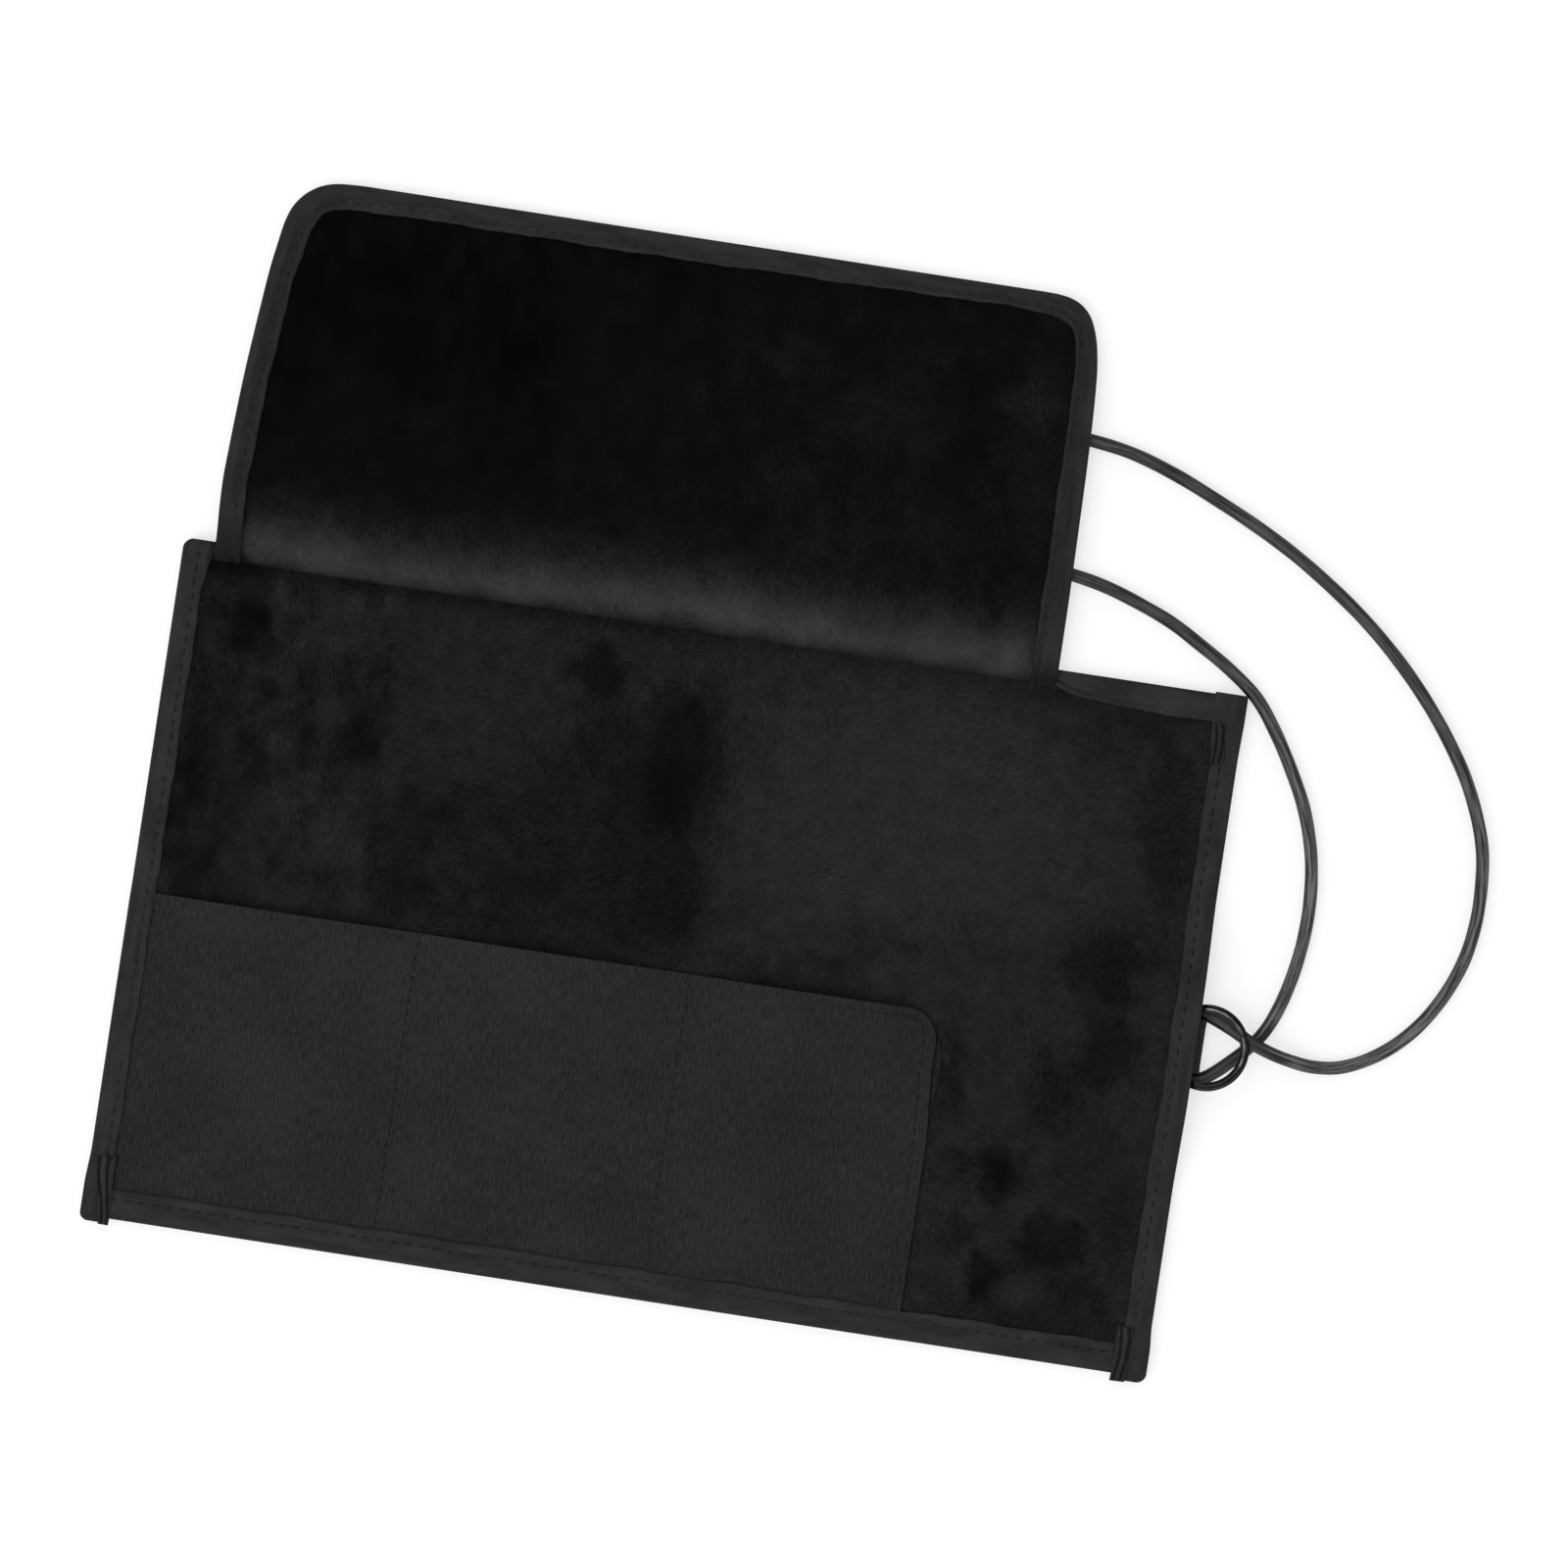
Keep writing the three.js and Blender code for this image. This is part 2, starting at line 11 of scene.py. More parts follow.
import bmesh
import bpy
import numpy as np
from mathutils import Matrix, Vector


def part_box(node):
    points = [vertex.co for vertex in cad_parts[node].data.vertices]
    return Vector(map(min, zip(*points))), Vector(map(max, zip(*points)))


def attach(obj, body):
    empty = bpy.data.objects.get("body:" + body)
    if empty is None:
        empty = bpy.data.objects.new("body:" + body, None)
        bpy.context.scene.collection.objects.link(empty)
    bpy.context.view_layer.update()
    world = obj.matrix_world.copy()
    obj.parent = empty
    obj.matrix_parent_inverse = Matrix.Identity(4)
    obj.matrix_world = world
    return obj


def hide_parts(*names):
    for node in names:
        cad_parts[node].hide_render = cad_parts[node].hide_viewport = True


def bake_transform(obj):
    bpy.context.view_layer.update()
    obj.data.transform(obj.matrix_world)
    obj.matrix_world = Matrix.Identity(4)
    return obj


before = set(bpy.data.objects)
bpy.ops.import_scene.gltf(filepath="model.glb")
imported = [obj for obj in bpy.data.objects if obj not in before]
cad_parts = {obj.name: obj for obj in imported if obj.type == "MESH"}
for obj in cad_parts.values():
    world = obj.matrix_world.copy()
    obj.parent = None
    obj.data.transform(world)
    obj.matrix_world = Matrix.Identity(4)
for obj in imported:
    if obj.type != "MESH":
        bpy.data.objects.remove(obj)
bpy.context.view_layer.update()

MM = 0.001
left_low, left_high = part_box("left_binding")
right_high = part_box("right_binding")[1]
PANEL_CENTRE = np.array([(left_low.x + right_high.x) / 2, (left_low.y + left_high.y) / 2, 0.0])


def row(points):
    """Panel millimetres, measured from the panel's centre, as metres in the row frame."""
    return np.asarray(points, float) * MM + PANEL_CENTRE


print("panel centre in the row frame", np.round(PANEL_CENTRE, 5))

# %% [markdown]
# ## The camera
# The roll was photographed straight from above and lies turned by a few degrees. A long lens far
# away keeps the edges parallel, as in the picture. The width of the view is the one real size
# that was worked out from the picture, so the lens follows from it.

# %% Camera
VIEW_CENTRE = (26.7, 55.5)
VIEW_WIDTH = 455.3
CAMERA_HEIGHT = 1500.0
CLOTH_HEIGHT = 4.0
CAMERA_TURN = math.radians(8.62)

camera_data = bpy.data.cameras.new("camera")
camera_data.sensor_width = 36.0
camera_data.lens = camera_data.sensor_width * (CAMERA_HEIGHT - CLOTH_HEIGHT) / VIEW_WIDTH
camera = bpy.data.objects.new("camera", camera_data)
camera.location = row([*VIEW_CENTRE, CAMERA_HEIGHT])
camera.rotation_euler = (0, 0, CAMERA_TURN)
bpy.context.collection.objects.link(camera)
bpy.context.scene.camera = camera
bpy.context.scene.view_settings.view_transform = "Standard"
print("lens", round(camera_data.lens, 1), "mm")

# %% [markdown]
# ## Making materials
# Each finish is a small tree of nodes. One function adds a node, sets its options and either sets
# or links its inputs, and shorter ones make the kinds that most finishes need: noise, ribs, sums,
# ranges, mixes and painted values. Colours are written as the hex values one reads off a picture
# and are turned to linear light, which is what the shader works in. All patterns read a map named
# "flat" that holds the cloth's own flat millimetres, so that a weave bends with the cloth.

# %% Node and colour helpers
MIX_A, MIX_B = 6, 7
# Real threads are about 0.4 mm apart. Ribs are drawn 0.8 mm apart so that they show.
RIB = 0.8
# Blender's wave of scale 1 repeats every 0.314.
WAVE_PERIOD = 0.314


def linear(code):
    """An sRGB hex colour as linear RGBA."""
    channels = [int(code[i:i + 2], 16) / 255 for i in (1, 3, 5)]
    return [c / 12.92 if c <= 0.04045 else ((c + 0.055) / 1.055) ** 2.4 for c in channels] + [1.0]


def node(tree, kind, inputs=None, **settings):
    """Adds a node with its settings; an input is a value, a socket, or a node to link from."""
    made = tree.nodes.new(kind)
    for name, value in settings.items():
        setattr(made, name, value)
    for key, value in (inputs or {}).items():
        if isinstance(value, bpy.types.Node):
            value = next(output for output in value.outputs if output.enabled)
        if isinstance(value, bpy.types.NodeSocket):
            tree.links.new(value, made.inputs[key])
        else:
            made.inputs[key].default_value = value
    return made


def noise(tree, place, size, detail, roughness=0.5, distortion=0.0):
    """A flat noise in spots of a size in millimetres, or of two sizes, along and across."""
    scale = 1.0
    if isinstance(size, tuple):
        place = node(tree, "ShaderNodeMapping", {
            "Vector": place, "Scale": (1 / size[0], 1 / size[1], 1)})
    else:
        scale = 1 / size
    return node(tree, "ShaderNodeTexNoise", {
        "Vector": place, "Scale": scale, "Detail": detail, "Roughness": roughness,
        "Distortion": distortion}, noise_dimensions="2D")


def ribs(tree, place, uneven, uneven_scale):
    """The ribs of a weave, which follow each other along the map and are a little uneven."""
    return node(tree, "ShaderNodeTexWave", {
        "Vector": place, "Scale": WAVE_PERIOD / RIB, "Distortion": uneven, "Detail": 1.0,
        "Detail Scale": uneven_scale}, bands_direction="X").outputs["Fac"]


def maths(tree, operation, *values, **settings):
    """One step of arithmetic on values, sockets or nodes."""
    return node(tree, "ShaderNodeMath", dict(enumerate(values)), operation=operation, **settings)


def ranged(tree, value, low, high, to_low=0.0, to_high=1.0):
    """A value between low and high, mapped to another range."""
    return node(tree, "ShaderNodeMapRange", {
        "Value": value, "From Min": low, "From Max": high, "To Min": to_low, "To Max": to_high})


def mix(tree, share, first, second):
    """A mix of two colours, each of them a hex value or a node."""
    first, second = (linear(c) if isinstance(c, str) else c for c in (first, second))
    return node(tree, "ShaderNodeMix", {0: share, MIX_A: first, MIX_B: second}, data_type="RGBA")


def paint(tree, name):
    """A value that is painted on the mesh."""
    return node(tree, "ShaderNodeAttribute", attribute_name=name).outputs["Fac"]


def new_material(name):
    """An empty material and its tree of nodes."""
    material = bpy.data.materials.new(name)
    material.use_nodes = True
    material.node_tree.nodes.clear()
    return material, material.node_tree


def surface(material, inputs, relief=None):
    """Ends a material's tree; relief is the height, strength and depth in metres of a bump."""
    tree = material.node_tree
    if relief:
        bump = dict(zip(("Height", "Strength", "Distance"), relief))
        inputs["Normal"] = node(tree, "ShaderNodeBump", bump)
    shader = node(tree, "ShaderNodeBsdfPrincipled", inputs)
    node(tree, "ShaderNodeOutputMaterial", {"Surface": shader})
    print("made", material.name)
    return material

# %% [markdown]
# ### Leather
# The cord is round leather lacing, cut, rolled and dyed black. Dye leaves it slightly uneven along
# its length, and the rolled grain shows as fine creases that run with the cord. A value named "rub"
# is painted light and shade: paler on the cord's top, darker on its flanks and below, inside the
# ring and towards its far ends. Its smooth finish gives a soft highlight.

# %% Leather
def leather_material():
    material, tree = new_material("dyed leather lacing")
    flat = node(tree, "ShaderNodeUVMap", uv_map="flat")
    # Creases are about 16 mm long and 0.9 mm apart round the cord. The dye varies over 22 by 8 mm.
    crease = noise(tree, flat, (16, 0.9), 3.0, 0.6)
    dye = noise(tree, flat, (22, 8), 2.0)
    # The cord's painted light and shade scale its pale creases.
    pale = maths(tree, "MULTIPLY", ranged(tree, crease, 0.38, 0.64), paint(tree, "rub"))
    colour = mix(tree, pale, "#080808", "#646462")
    rough = ranged(tree, dye, 0.3, 0.7, 0.32, 0.5)
    return surface(material, {
        "Base Color": colour, "Roughness": rough, "Specular IOR Level": 0.25},
        (crease, 0.6, 0.0004))


LEATHER = leather_material()

# %% [markdown]
# ## Turning points into pieces
# Two helpers make nearly every mesh here. `loft` skins a row of closed sections, which suits a
# cord or a folded tape. `shell` closes two grids of points, an upper and a lower one, into a cloth
# of real thickness. Both return loose lists, and `piece` makes the object, writes the flat map and
# turns all faces outwards. `stands_for` hides the CAD nodes that a piece replaces.

# %% Mesh helpers
SHARP_ANGLE = math.radians(50)


def smooth(value, start, end):
    """0 before start, 1 after end and a soft step between them."""
    t = np.clip((np.asarray(value, float) - start) / (end - start), 0, 1)
    return t * t * (3 - 2 * t)


def near(value, place, width):
    """1 at a place, and a soft fall to nothing within about two widths of it."""
    return np.exp(-((value - place) / width) ** 2)


def unit(vectors):
    """The same vectors with a length of 1."""
    return vectors / np.linalg.norm(vectors, axis=1)[:, None]


def lengths(points):
    """The running length along a row of points."""
    return np.concatenate([[0], np.cumsum(np.linalg.norm(np.diff(points, axis=0), axis=1))])


def loft(rings, along, around):
    """Skins closed sections; rings is (count, size, 3), along (count,), around (size + 1,)."""
    count, size = rings.shape[:2]
    faces, flat = [], []
    for i in range(count - 1):
        for j in range(size):
            k = (j + 1) % size
            faces.append((i * size + j, i * size + k, (i + 1) * size + k, (i + 1) * size + j))
            flat += [(along[i], around[j]), (along[i], around[j + 1]),
                     (along[i + 1], around[j + 1]), (along[i + 1], around[j])]
    for start, where in ((0, along[0]), ((count - 1) * size, along[-1])):
        faces.append(tuple(start + j for j in range(size)))
        flat += [(where, around[j]) for j in range(size)]
    return rings.reshape(-1, 3), faces, flat


def shell(upper, under, flat_grid):
    """Closes two grids of points (rows, columns, 3) into one cloth with a rim."""
    rows, columns = upper.shape[:2]
    count = rows * columns
    index = np.arange(count).reshape(rows, columns)
    a, b, c, d = index[:-1, :-1], index[:-1, 1:], index[1:, 1:], index[1:, :-1]
    top = np.stack([a, b, c, d], -1).reshape(-1, 4)
    faces = np.concatenate([top, top[:, ::-1] + count]).tolist()
    edge = np.concatenate([index[0, :-1], index[:-1, -1], index[-1, :0:-1], index[:0:-1, 0]])
    after = np.roll(edge, -1)
    faces += np.stack([edge, edge + count, after + count, after], -1).tolist()
    coordinates = flat_grid.reshape(-1, 2)
    flat = [coordinates[v % count] for face in faces for v in face]
    return np.concatenate([upper.reshape(-1, 3), under.reshape(-1, 3)]), faces, flat


def cloth(x, y, top, under):
    """A cloth between two heights over a grid of x and y, which is also its flat map."""
    return shell(np.dstack([x, y, top]), np.dstack([x, y, under]), np.dstack([x, y]))


def piece(name, parts, material, attributes=None):
    """Makes one object of (points in panel millimetres, faces, flat coordinates) parts."""
    points, faces, flat, offset = [], [], [], 0
    for part_points, part_faces, part_flat in parts:
        points.append(part_points)
        faces += [[v + offset for v in face] for face in part_faces]
        flat += list(part_flat)
        offset += len(part_points)
    mesh = bpy.data.meshes.new(name)
    mesh.from_pydata(row(np.concatenate(points)).tolist(), [], faces)
    layer = mesh.uv_layers.new(name="flat")
    layer.data.foreach_set("uv", np.asarray(flat, np.float32).ravel())
    for label, values in (attributes or {}).items():
        made = mesh.attributes.new(label, "FLOAT", "POINT")
        made.data.foreach_set("value", np.asarray(values, np.float32))
    work = bmesh.new()
    work.from_mesh(mesh)
    bmesh.ops.recalc_face_normals(work, faces=work.faces)
    work.to_mesh(mesh)
    work.free()
    mesh.polygons.foreach_set("use_smooth", np.ones(len(mesh.polygons), bool))
    mesh.set_sharp_from_angle(angle=SHARP_ANGLE)
    mesh.materials.append(material)
    made = bpy.data.objects.new(name, mesh)
    bpy.context.collection.objects.link(made)
    return made


def stands_for(made, slot, *nodes):
    """Hides the CAD nodes that a piece replaces, if any, and prints its faces; slot is not used."""
    if nodes:
        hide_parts(*nodes)
    print(made.name, len(made.data.polygons), "faces")


# %% [markdown]
# ## The leather cord
# One cord is doubled through a tape loop under the panel's edge. Its two ends leave the loop, cross
# under the split ring and sweep round in two wide curves to lie under the open flap, where the
# picture hides them. A bevelled curve would do, but a skinned tube lets the grain follow the cord,
# so each route is sampled evenly and given round sections with slightly domed ends.

# %% Cord routes
CORD_DIAMETER = 3.85
CORD_STEP = 1.5
CORD_SIDES = 16
CORD_REST = 2.0
KNOT_Y = -1.8
BIGHT_CENTRE_X = 152.0
BIGHT_RADIUS, BIGHT_CLIMB = 10.0, 0.8
# The points that each end follows: x, y, and its height where it doesn't lie on the floor.
OUTER_TAIL = [(*point, CORD_REST)[:3] for point in (
    (154.2, 8.2), (156.6, 8.1, 2.1), (160.5, 6.8, 2.9), (166, 4.5, 4.8), (172, 1.5, 6.4),
    (178, -0.6, 6.1), (184, -2, 4.4), (191, -2.8, 2.6), (199.2, -1.7), (209.5, 3.6),
    (218.3, 11.8), (225, 22), (229.7, 33.7), (231.6, 45), (231.6, 56.9), (229.9, 68.6),
    (223.9, 83.9), (216.6, 95.8), (207.4, 107.7), (197.6, 118.1), (187, 127.5), (175.6, 135.9),
    (163.4, 143.7), (151.4, 150.1), (139.6, 155.6), (125.9, 161.4), (112.4, 165.7), (99.7, 167.7),
    (86, 168.5), (70, 168), (50, 166), (25, 163), (0, 161), (-25, 160.5), (-48, 162),
)]
INNER_TAIL = [(*point, CORD_REST) for point in (
    (154.2, -11.8), (156.6, -11.7), (160, -10.8), (163.8, -8), (168.4, -3.6), (172, 0.2),
    (175, 4.2), (177.6, 9.5), (180.5, 18.9), (182.5, 30.2), (183.1, 41.3), (182.3, 52.2),
    (180.6, 60.9), (177.1, 71.4), (171.9, 81.6), (165.9, 91.5), (158.9, 100.7), (150, 107.7),
    (140.5, 113.5), (131.4, 118.6), (121.6, 122.6), (111, 126.1), (100.6, 128.2), (85, 130),
    (65, 131), (40, 130.5), (10, 128.5), (-20, 127.5), (-50, 128.5), (-80, 130.5), (-100, 131),
)]


def bight_route():
    """The turn of the cord inside the loop, a half circle that rises over the loop's tape."""
    angles = np.linspace(math.pi / 2, 1.5 * math.pi, 9)
    turn = np.stack([
        BIGHT_CENTRE_X + BIGHT_RADIUS * np.cos(angles),
        KNOT_Y + BIGHT_RADIUS * np.sin(angles),
        CORD_DIAMETER / 2 + BIGHT_CLIMB * smooth(-np.cos(angles), 0, 0.6),
    ], -1)
    return np.vstack([OUTER_TAIL[0], turn, INNER_TAIL[0]])


def smooth_route(points, step):
    """Evenly spaced points on a centripetal curve through the given ones, and their lengths."""
    p = np.asarray(points, float)
    p = np.concatenate([[2 * p[0] - p[1]], p, [2 * p[-1] - p[-2]]])
    knots = np.linalg.norm(np.diff(p, axis=0), axis=1) ** 0.5
    t = np.linspace(0, 1, 24, endpoint=False)[:, None]
    fine = []
    for i in range(1, len(p) - 2):
        d0, d1, d2 = knots[i - 1:i + 2]
        leave = ((p[i] - p[i - 1]) / d0 - (p[i + 1] - p[i - 1]) / (d0 + d1)
                 + (p[i + 1] - p[i]) / d1) * d1
        arrive = ((p[i + 1] - p[i]) / d1 - (p[i + 2] - p[i]) / (d1 + d2)
                  + (p[i + 2] - p[i + 1]) / d2) * d1
        fine.append((2 * t**3 - 3 * t**2 + 1) * p[i] + (t**3 - 2 * t**2 + t) * leave
                    + (3 * t**2 - 2 * t**3) * p[i + 1] + (t**3 - t**2) * arrive)
    fine = np.concatenate(fine + [p[-2:-1]])
    length = lengths(fine)
    even = np.linspace(0, length[-1], int(length[-1] / step) + 1)
    return np.stack([np.interp(even, length, fine[:, k]) for k in range(3)], -1), even

# %% Cord tubes
def cord_tube(points):
    """A round tube with domed ends along a route; returns the loft, its centres and its length."""
    centres, along = smooth_route(points, CORD_STEP)
    ahead = unit(np.gradient(centres, axis=0))
    side = unit(np.cross(ahead, [0, 0, 1]))
    up = np.cross(side, ahead)
    # Rolled lacing is never quite even: its thickness varies by up to 2 per cent.
    uneven = 1 + 0.012 * np.sin(along * 0.21) + 0.008 * np.sin(along * 0.53 + 1)
    radius = CORD_DIAMETER / 2 * uneven
    radius[[0, -1]] *= 0.72
    radius[[1, -2]] *= 0.97
    turn = np.linspace(0, 2 * math.pi, CORD_SIDES + 1) - math.pi / 2
    rings = (centres[:, None] + radius[:, None, None]
             * (np.cos(turn[:-1])[None, :, None] * side[:, None]
                + np.sin(turn[:-1])[None, :, None] * up[:, None]))
    around = (turn + math.pi / 2) * CORD_DIAMETER / 2
    return loft(rings, along, around), centres, along[-1]


# Name, route, far end, and where along it the painted light starts to fade into painted shade.
CORDS = (("outer_tail", OUTER_TAIL, "bare", 95), ("inner_tail", INNER_TAIL, "bare", 62),
         ("bight", bight_route(), "object", 95))
PAINTED_LIGHT_START, PAINTED_LIGHT_FULL, PAINTED_SHADE_FADE = 19, 31, 105
# Painted light on the top of the cord, painted shade on its flanks and below.
painted_lit_top = smooth(-np.cos(np.linspace(0, 2 * math.pi, CORD_SIDES, endpoint=False)), 0.05, 0.95)
for label, route, end, fades_from in CORDS:
    tube, centres, length = cord_tube(route)
    along = np.linspace(0, length, len(centres))
    # Painted shade inside the ring and painted light past it.
    rub = 0.3 + 0.7 * smooth(along, PAINTED_LIGHT_START, PAINTED_LIGHT_FULL)
    # Painted shade towards the far end.
    rub = rub * (1 - 0.62 * smooth(along, fades_from, fades_from + PAINTED_SHADE_FADE))
    rub = np.outer(rub, painted_lit_top).ravel()
    cord = piece(f"leather_cord_{label}", [tube], LEATHER, {"rub": rub})
    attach(cord, "panel_4")
    stands_for(cord, "cord", f"cord_{label}")
    print(cord.name, round(length, 1), "mm long")

# %% [markdown]
# ## How the panel lies
# The panel is not perfectly flat. It is lifted where the loop, ring and cord lie under its right
# edge, and cloth that has been rolled up never lies quite dead. All layers share one height
# function, so that they stay parallel and never cut through each other.

# %% Panel sizes and its height
PANEL_RIGHT = 156.0
PANEL_TOP = 100.3
FOLDS = (-71.5, 8.0, 102.0)
CUTS = (-31.75, 55.0)
FOLD_HALF = 5.0
FOLD_Z = 7.1
LEAST_STEP = 0.3
LIFT = 6.9
TAPE = 0.5


def ground(x, y):
    """Height of the panel's underside: the lift over the loop and a slight lie of the cloth."""
    lift = LIFT * smooth(x, 112, 142) * (1 - smooth(np.abs(y - KNOT_Y), 15, 46))
    lie = 0.22 * (1 + np.sin(x * 0.045 + 0.6) * np.sin(y * 0.055 - 0.4))
    corner = 0.8 * smooth(x, 110, 160) * smooth(y, 60, 105)
    return lift + lie + corner


def columns(start, end, fold, step):
    """Column positions, a millimetre apart where the cloth folds."""
    wide = np.linspace(start, end, max(2, int((end - start) / step) + 1))
    close = np.arange(fold - FOLD_HALF - 1, fold + FOLD_HALF + 1.01, 1.0)
    close = close[(close > start) & (close < end)]
    values = np.unique(np.round(np.concatenate([wide, close]), 3))
    keep = np.concatenate([[True], np.diff(values) > LEAST_STEP])
    keep[-1] = True
    if values[-1] - values[keep][-2] < LEAST_STEP:
        keep[np.flatnonzero(keep)[-2]] = False
    return values[keep]


def across_fold(made):
    """Bakes a piece's placement into its mesh."""
    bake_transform(made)


ZONES = ((1, -PANEL_RIGHT, CUTS[0]), (2, CUTS[0], CUTS[1]), (3, CUTS[1], PANEL_RIGHT))
print("panel zones", ZONES)

# %% [markdown]
# ### Velvet
# The lining is cut-pile velvet. Its short pile scatters light, so it looks nearly black where the
# pile leans away and dark grey where it has been brushed towards the eye. A painted value named
# "nap" says how the pile lies and also carries painted shade and a painted highlight, two noises
# break it up, and fine streaks show the pile itself.

# %% Velvet
def velvet_material():
    material, tree = new_material("black cut-pile velvet")
    flat = node(tree, "ShaderNodeUVMap", uv_map="flat")
    nap_and_painted_light = paint(tree, "nap_and_painted_light")
    # Pile leans together in tufts of about 6 mm. Its streaks are 0.5 mm wide and 2 mm long, which
    # is coarser than real pile so that they show, and run upright in some parts, aslant in others.
    tuft = noise(tree, flat, 6, 5.0, 0.62)
    turned = node(tree, "ShaderNodeMapping", {"Vector": flat, "Rotation": (0, 0, math.radians(62))})
    upright, slant = (noise(tree, way, (0.5, 2.0), 2.0, distortion=0.8) for way in (flat, turned))
    share = ranged(tree, noise(tree, flat, 45, 2.0), 0.44, 0.56)
    streak = node(tree, "ShaderNodeMix", {0: share, 2: upright, 3: slant})
    # Streaks and tufts show most where the pile is not lying quite flat and black.
    depth = ranged(tree, nap_and_painted_light, 0.2, 0.37, 0.1, 1.0)
    both = maths(tree, "MULTIPLY_ADD", streak, 1.8, tuft)
    shown = maths(tree, "MULTIPLY", ranged(tree, both, 0.6, 2.2, -0.22, 0.22), depth)
    lie = maths(tree, "ADD", shown, nap_and_painted_light, use_clamp=True)
    colour = mix(tree, maths(tree, "POWER", lie, 1.7), "#000000", "#383836")
    return surface(material, {
        "Base Color": colour, "Roughness": 0.95, "Specular IOR Level": 0.02, "Sheen Weight": 0.04,
        "Sheen Roughness": 0.35, "Sheen Tint": linear("#8a8a88")}, (streak, 0.3, 0.0005))


VELVET = velvet_material()

# %% [markdown]
# ### Canvas
# The pockets and the outside are a firm cotton canvas with a clear upright rib. Threads vary in
# thickness, so a woven black is never one grey: the rib shows as short pale and dark streaks.

# %% Canvas
PAINTED_SHADE_DARK = "#040404"


def canvas_material():
    material, tree = new_material("ribbed cotton canvas")
    flat = node(tree, "ShaderNodeUVMap", uv_map="flat")
    # Thick spots in the thread are 0.6 by 3.2 mm, and the black varies in patches of 30 mm.
    slub = noise(tree, flat, (0.6, 3.2), 2.0, 0.65)
    fade = noise(tree, flat, 30, 3.0)
    weave = maths(tree, "MULTIPLY_ADD", ribs(tree, flat, 1.2, 1.5), 0.3, slub)
    tone = maths(tree, "MULTIPLY_ADD", fade, 0.35, weave)
    woven = mix(tree, ranged(tree, tone, 0.45, 1.2), "#161616", "#2f2f2e")
    # Painted shade is given by a value named "fold", on the pocket's turned-in edge under its front
    # layer.
    colour = mix(tree, paint(tree, "fold"), woven, PAINTED_SHADE_DARK)
    return surface(material, {
        "Base Color": colour, "Roughness": 0.88, "Specular IOR Level": 0.03,
        "Sheen Weight": 0.03, "Sheen Roughness": 0.5}, (weave, 0.45, 0.0003))


CANVAS = canvas_material()

# %% [markdown]
# ### Binding tape
# The edges are bound with a ribbed polyester tape. Its ribs run across the tape, so they stand
# square to every edge; the flat map of a tape runs along and across it for that reason.

# %% Tape
def tape_material(name, dark, light):
    material, tree = new_material(name)
    flat = node(tree, "ShaderNodeUVMap", uv_map="flat")
    # Single filaments are about 0.3 mm apart. Rubbed spots are 14 by 3 mm.
    filament = noise(tree, flat, (0.3, 0.6), 2.0)
    rub = noise(tree, flat, (14, 3.0), 4.0, 0.6)
    weave = maths(tree, "MULTIPLY_ADD", ribs(tree, flat, 0.8, 2.0), 0.25, filament)
    tone = maths(tree, "MULTIPLY_ADD", weave, 0.6, rub)
    woven = mix(tree, ranged(tree, tone, 0.6, 1.15), dark, light)
    # Painted shade is given by a value named "fold", in creases, hollows, grooves and under the
    # flap's roll.
    colour = mix(tree, paint(tree, "fold"), woven, PAINTED_SHADE_DARK)
    return surface(material, {
        "Base Color": colour, "Roughness": 0.72, "Specular IOR Level": 0.04,
        "Sheen Weight": 0.03, "Sheen Roughness": 0.5}, (weave, 0.3, 0.0003))


TAPE_FINISH = tape_material("ribbed polyester tape", "#1f1f1e", "#2f2f2d")
LOOP_FINISH = tape_material("black woven loop tape", "#1e1e1d", "#343432")

# %% [markdown]
# ### Felt
# Between the canvas and the velvet lies a thin padding of felt. It never shows, but it is a piece
# of the real roll, so it is there with a loose fibrous finish.

# %% Felt
def felt_material():
    material, tree = new_material("needled polyester felt")
    flat = node(tree, "ShaderNodeUVMap", uv_map="flat")
    # Its fibres lie in tangles of about 1.5 mm.
    fibre = noise(tree, flat, 1.5, 5.0, 0.7, 1.5)
    return surface(material, {
        "Base Color": mix(tree, fibre, "#3a3a39", "#5c5c5a"), "Roughness": 1.0,
        "Specular IOR Level": 0.05}, (fibre, 0.6, 0.0006))


FELT = felt_material()

# %% [markdown]
# ## Canvas shell, felt padding and velvet lining
# Each layer of the panel is one cloth. It folds at three lines, and a piece can bend across one
# joint only, so each cloth is made in three pieces that meet in the middle of a section, where both
# neighbours follow the same body and the join can't open. The nap of the lining is painted here as
# brush marks, wide soft strokes where a hand has stroked the pile one way or the other, together
# with painted shade under the flap's roll and beside the pocket's right edge.

# %% Panel layers
LAYER_EDGE = PANEL_RIGHT - 1.0
LAYER_TOP = PANEL_TOP - 1.0
LAYER_FOOT = -97.6
# Lowest and highest height, step of the grid and finish. The lining's grid carries the painted nap.
LAYERS = {"canvas": (0.7, 1.3, 3.0, CANVAS), "padding": (1.5, 2.3, 3.0, FELT),
          "velvet": (2.5, 3.2, 1.5, VELVET)}
NAP_FULL = 60.0
LATTICE = 101
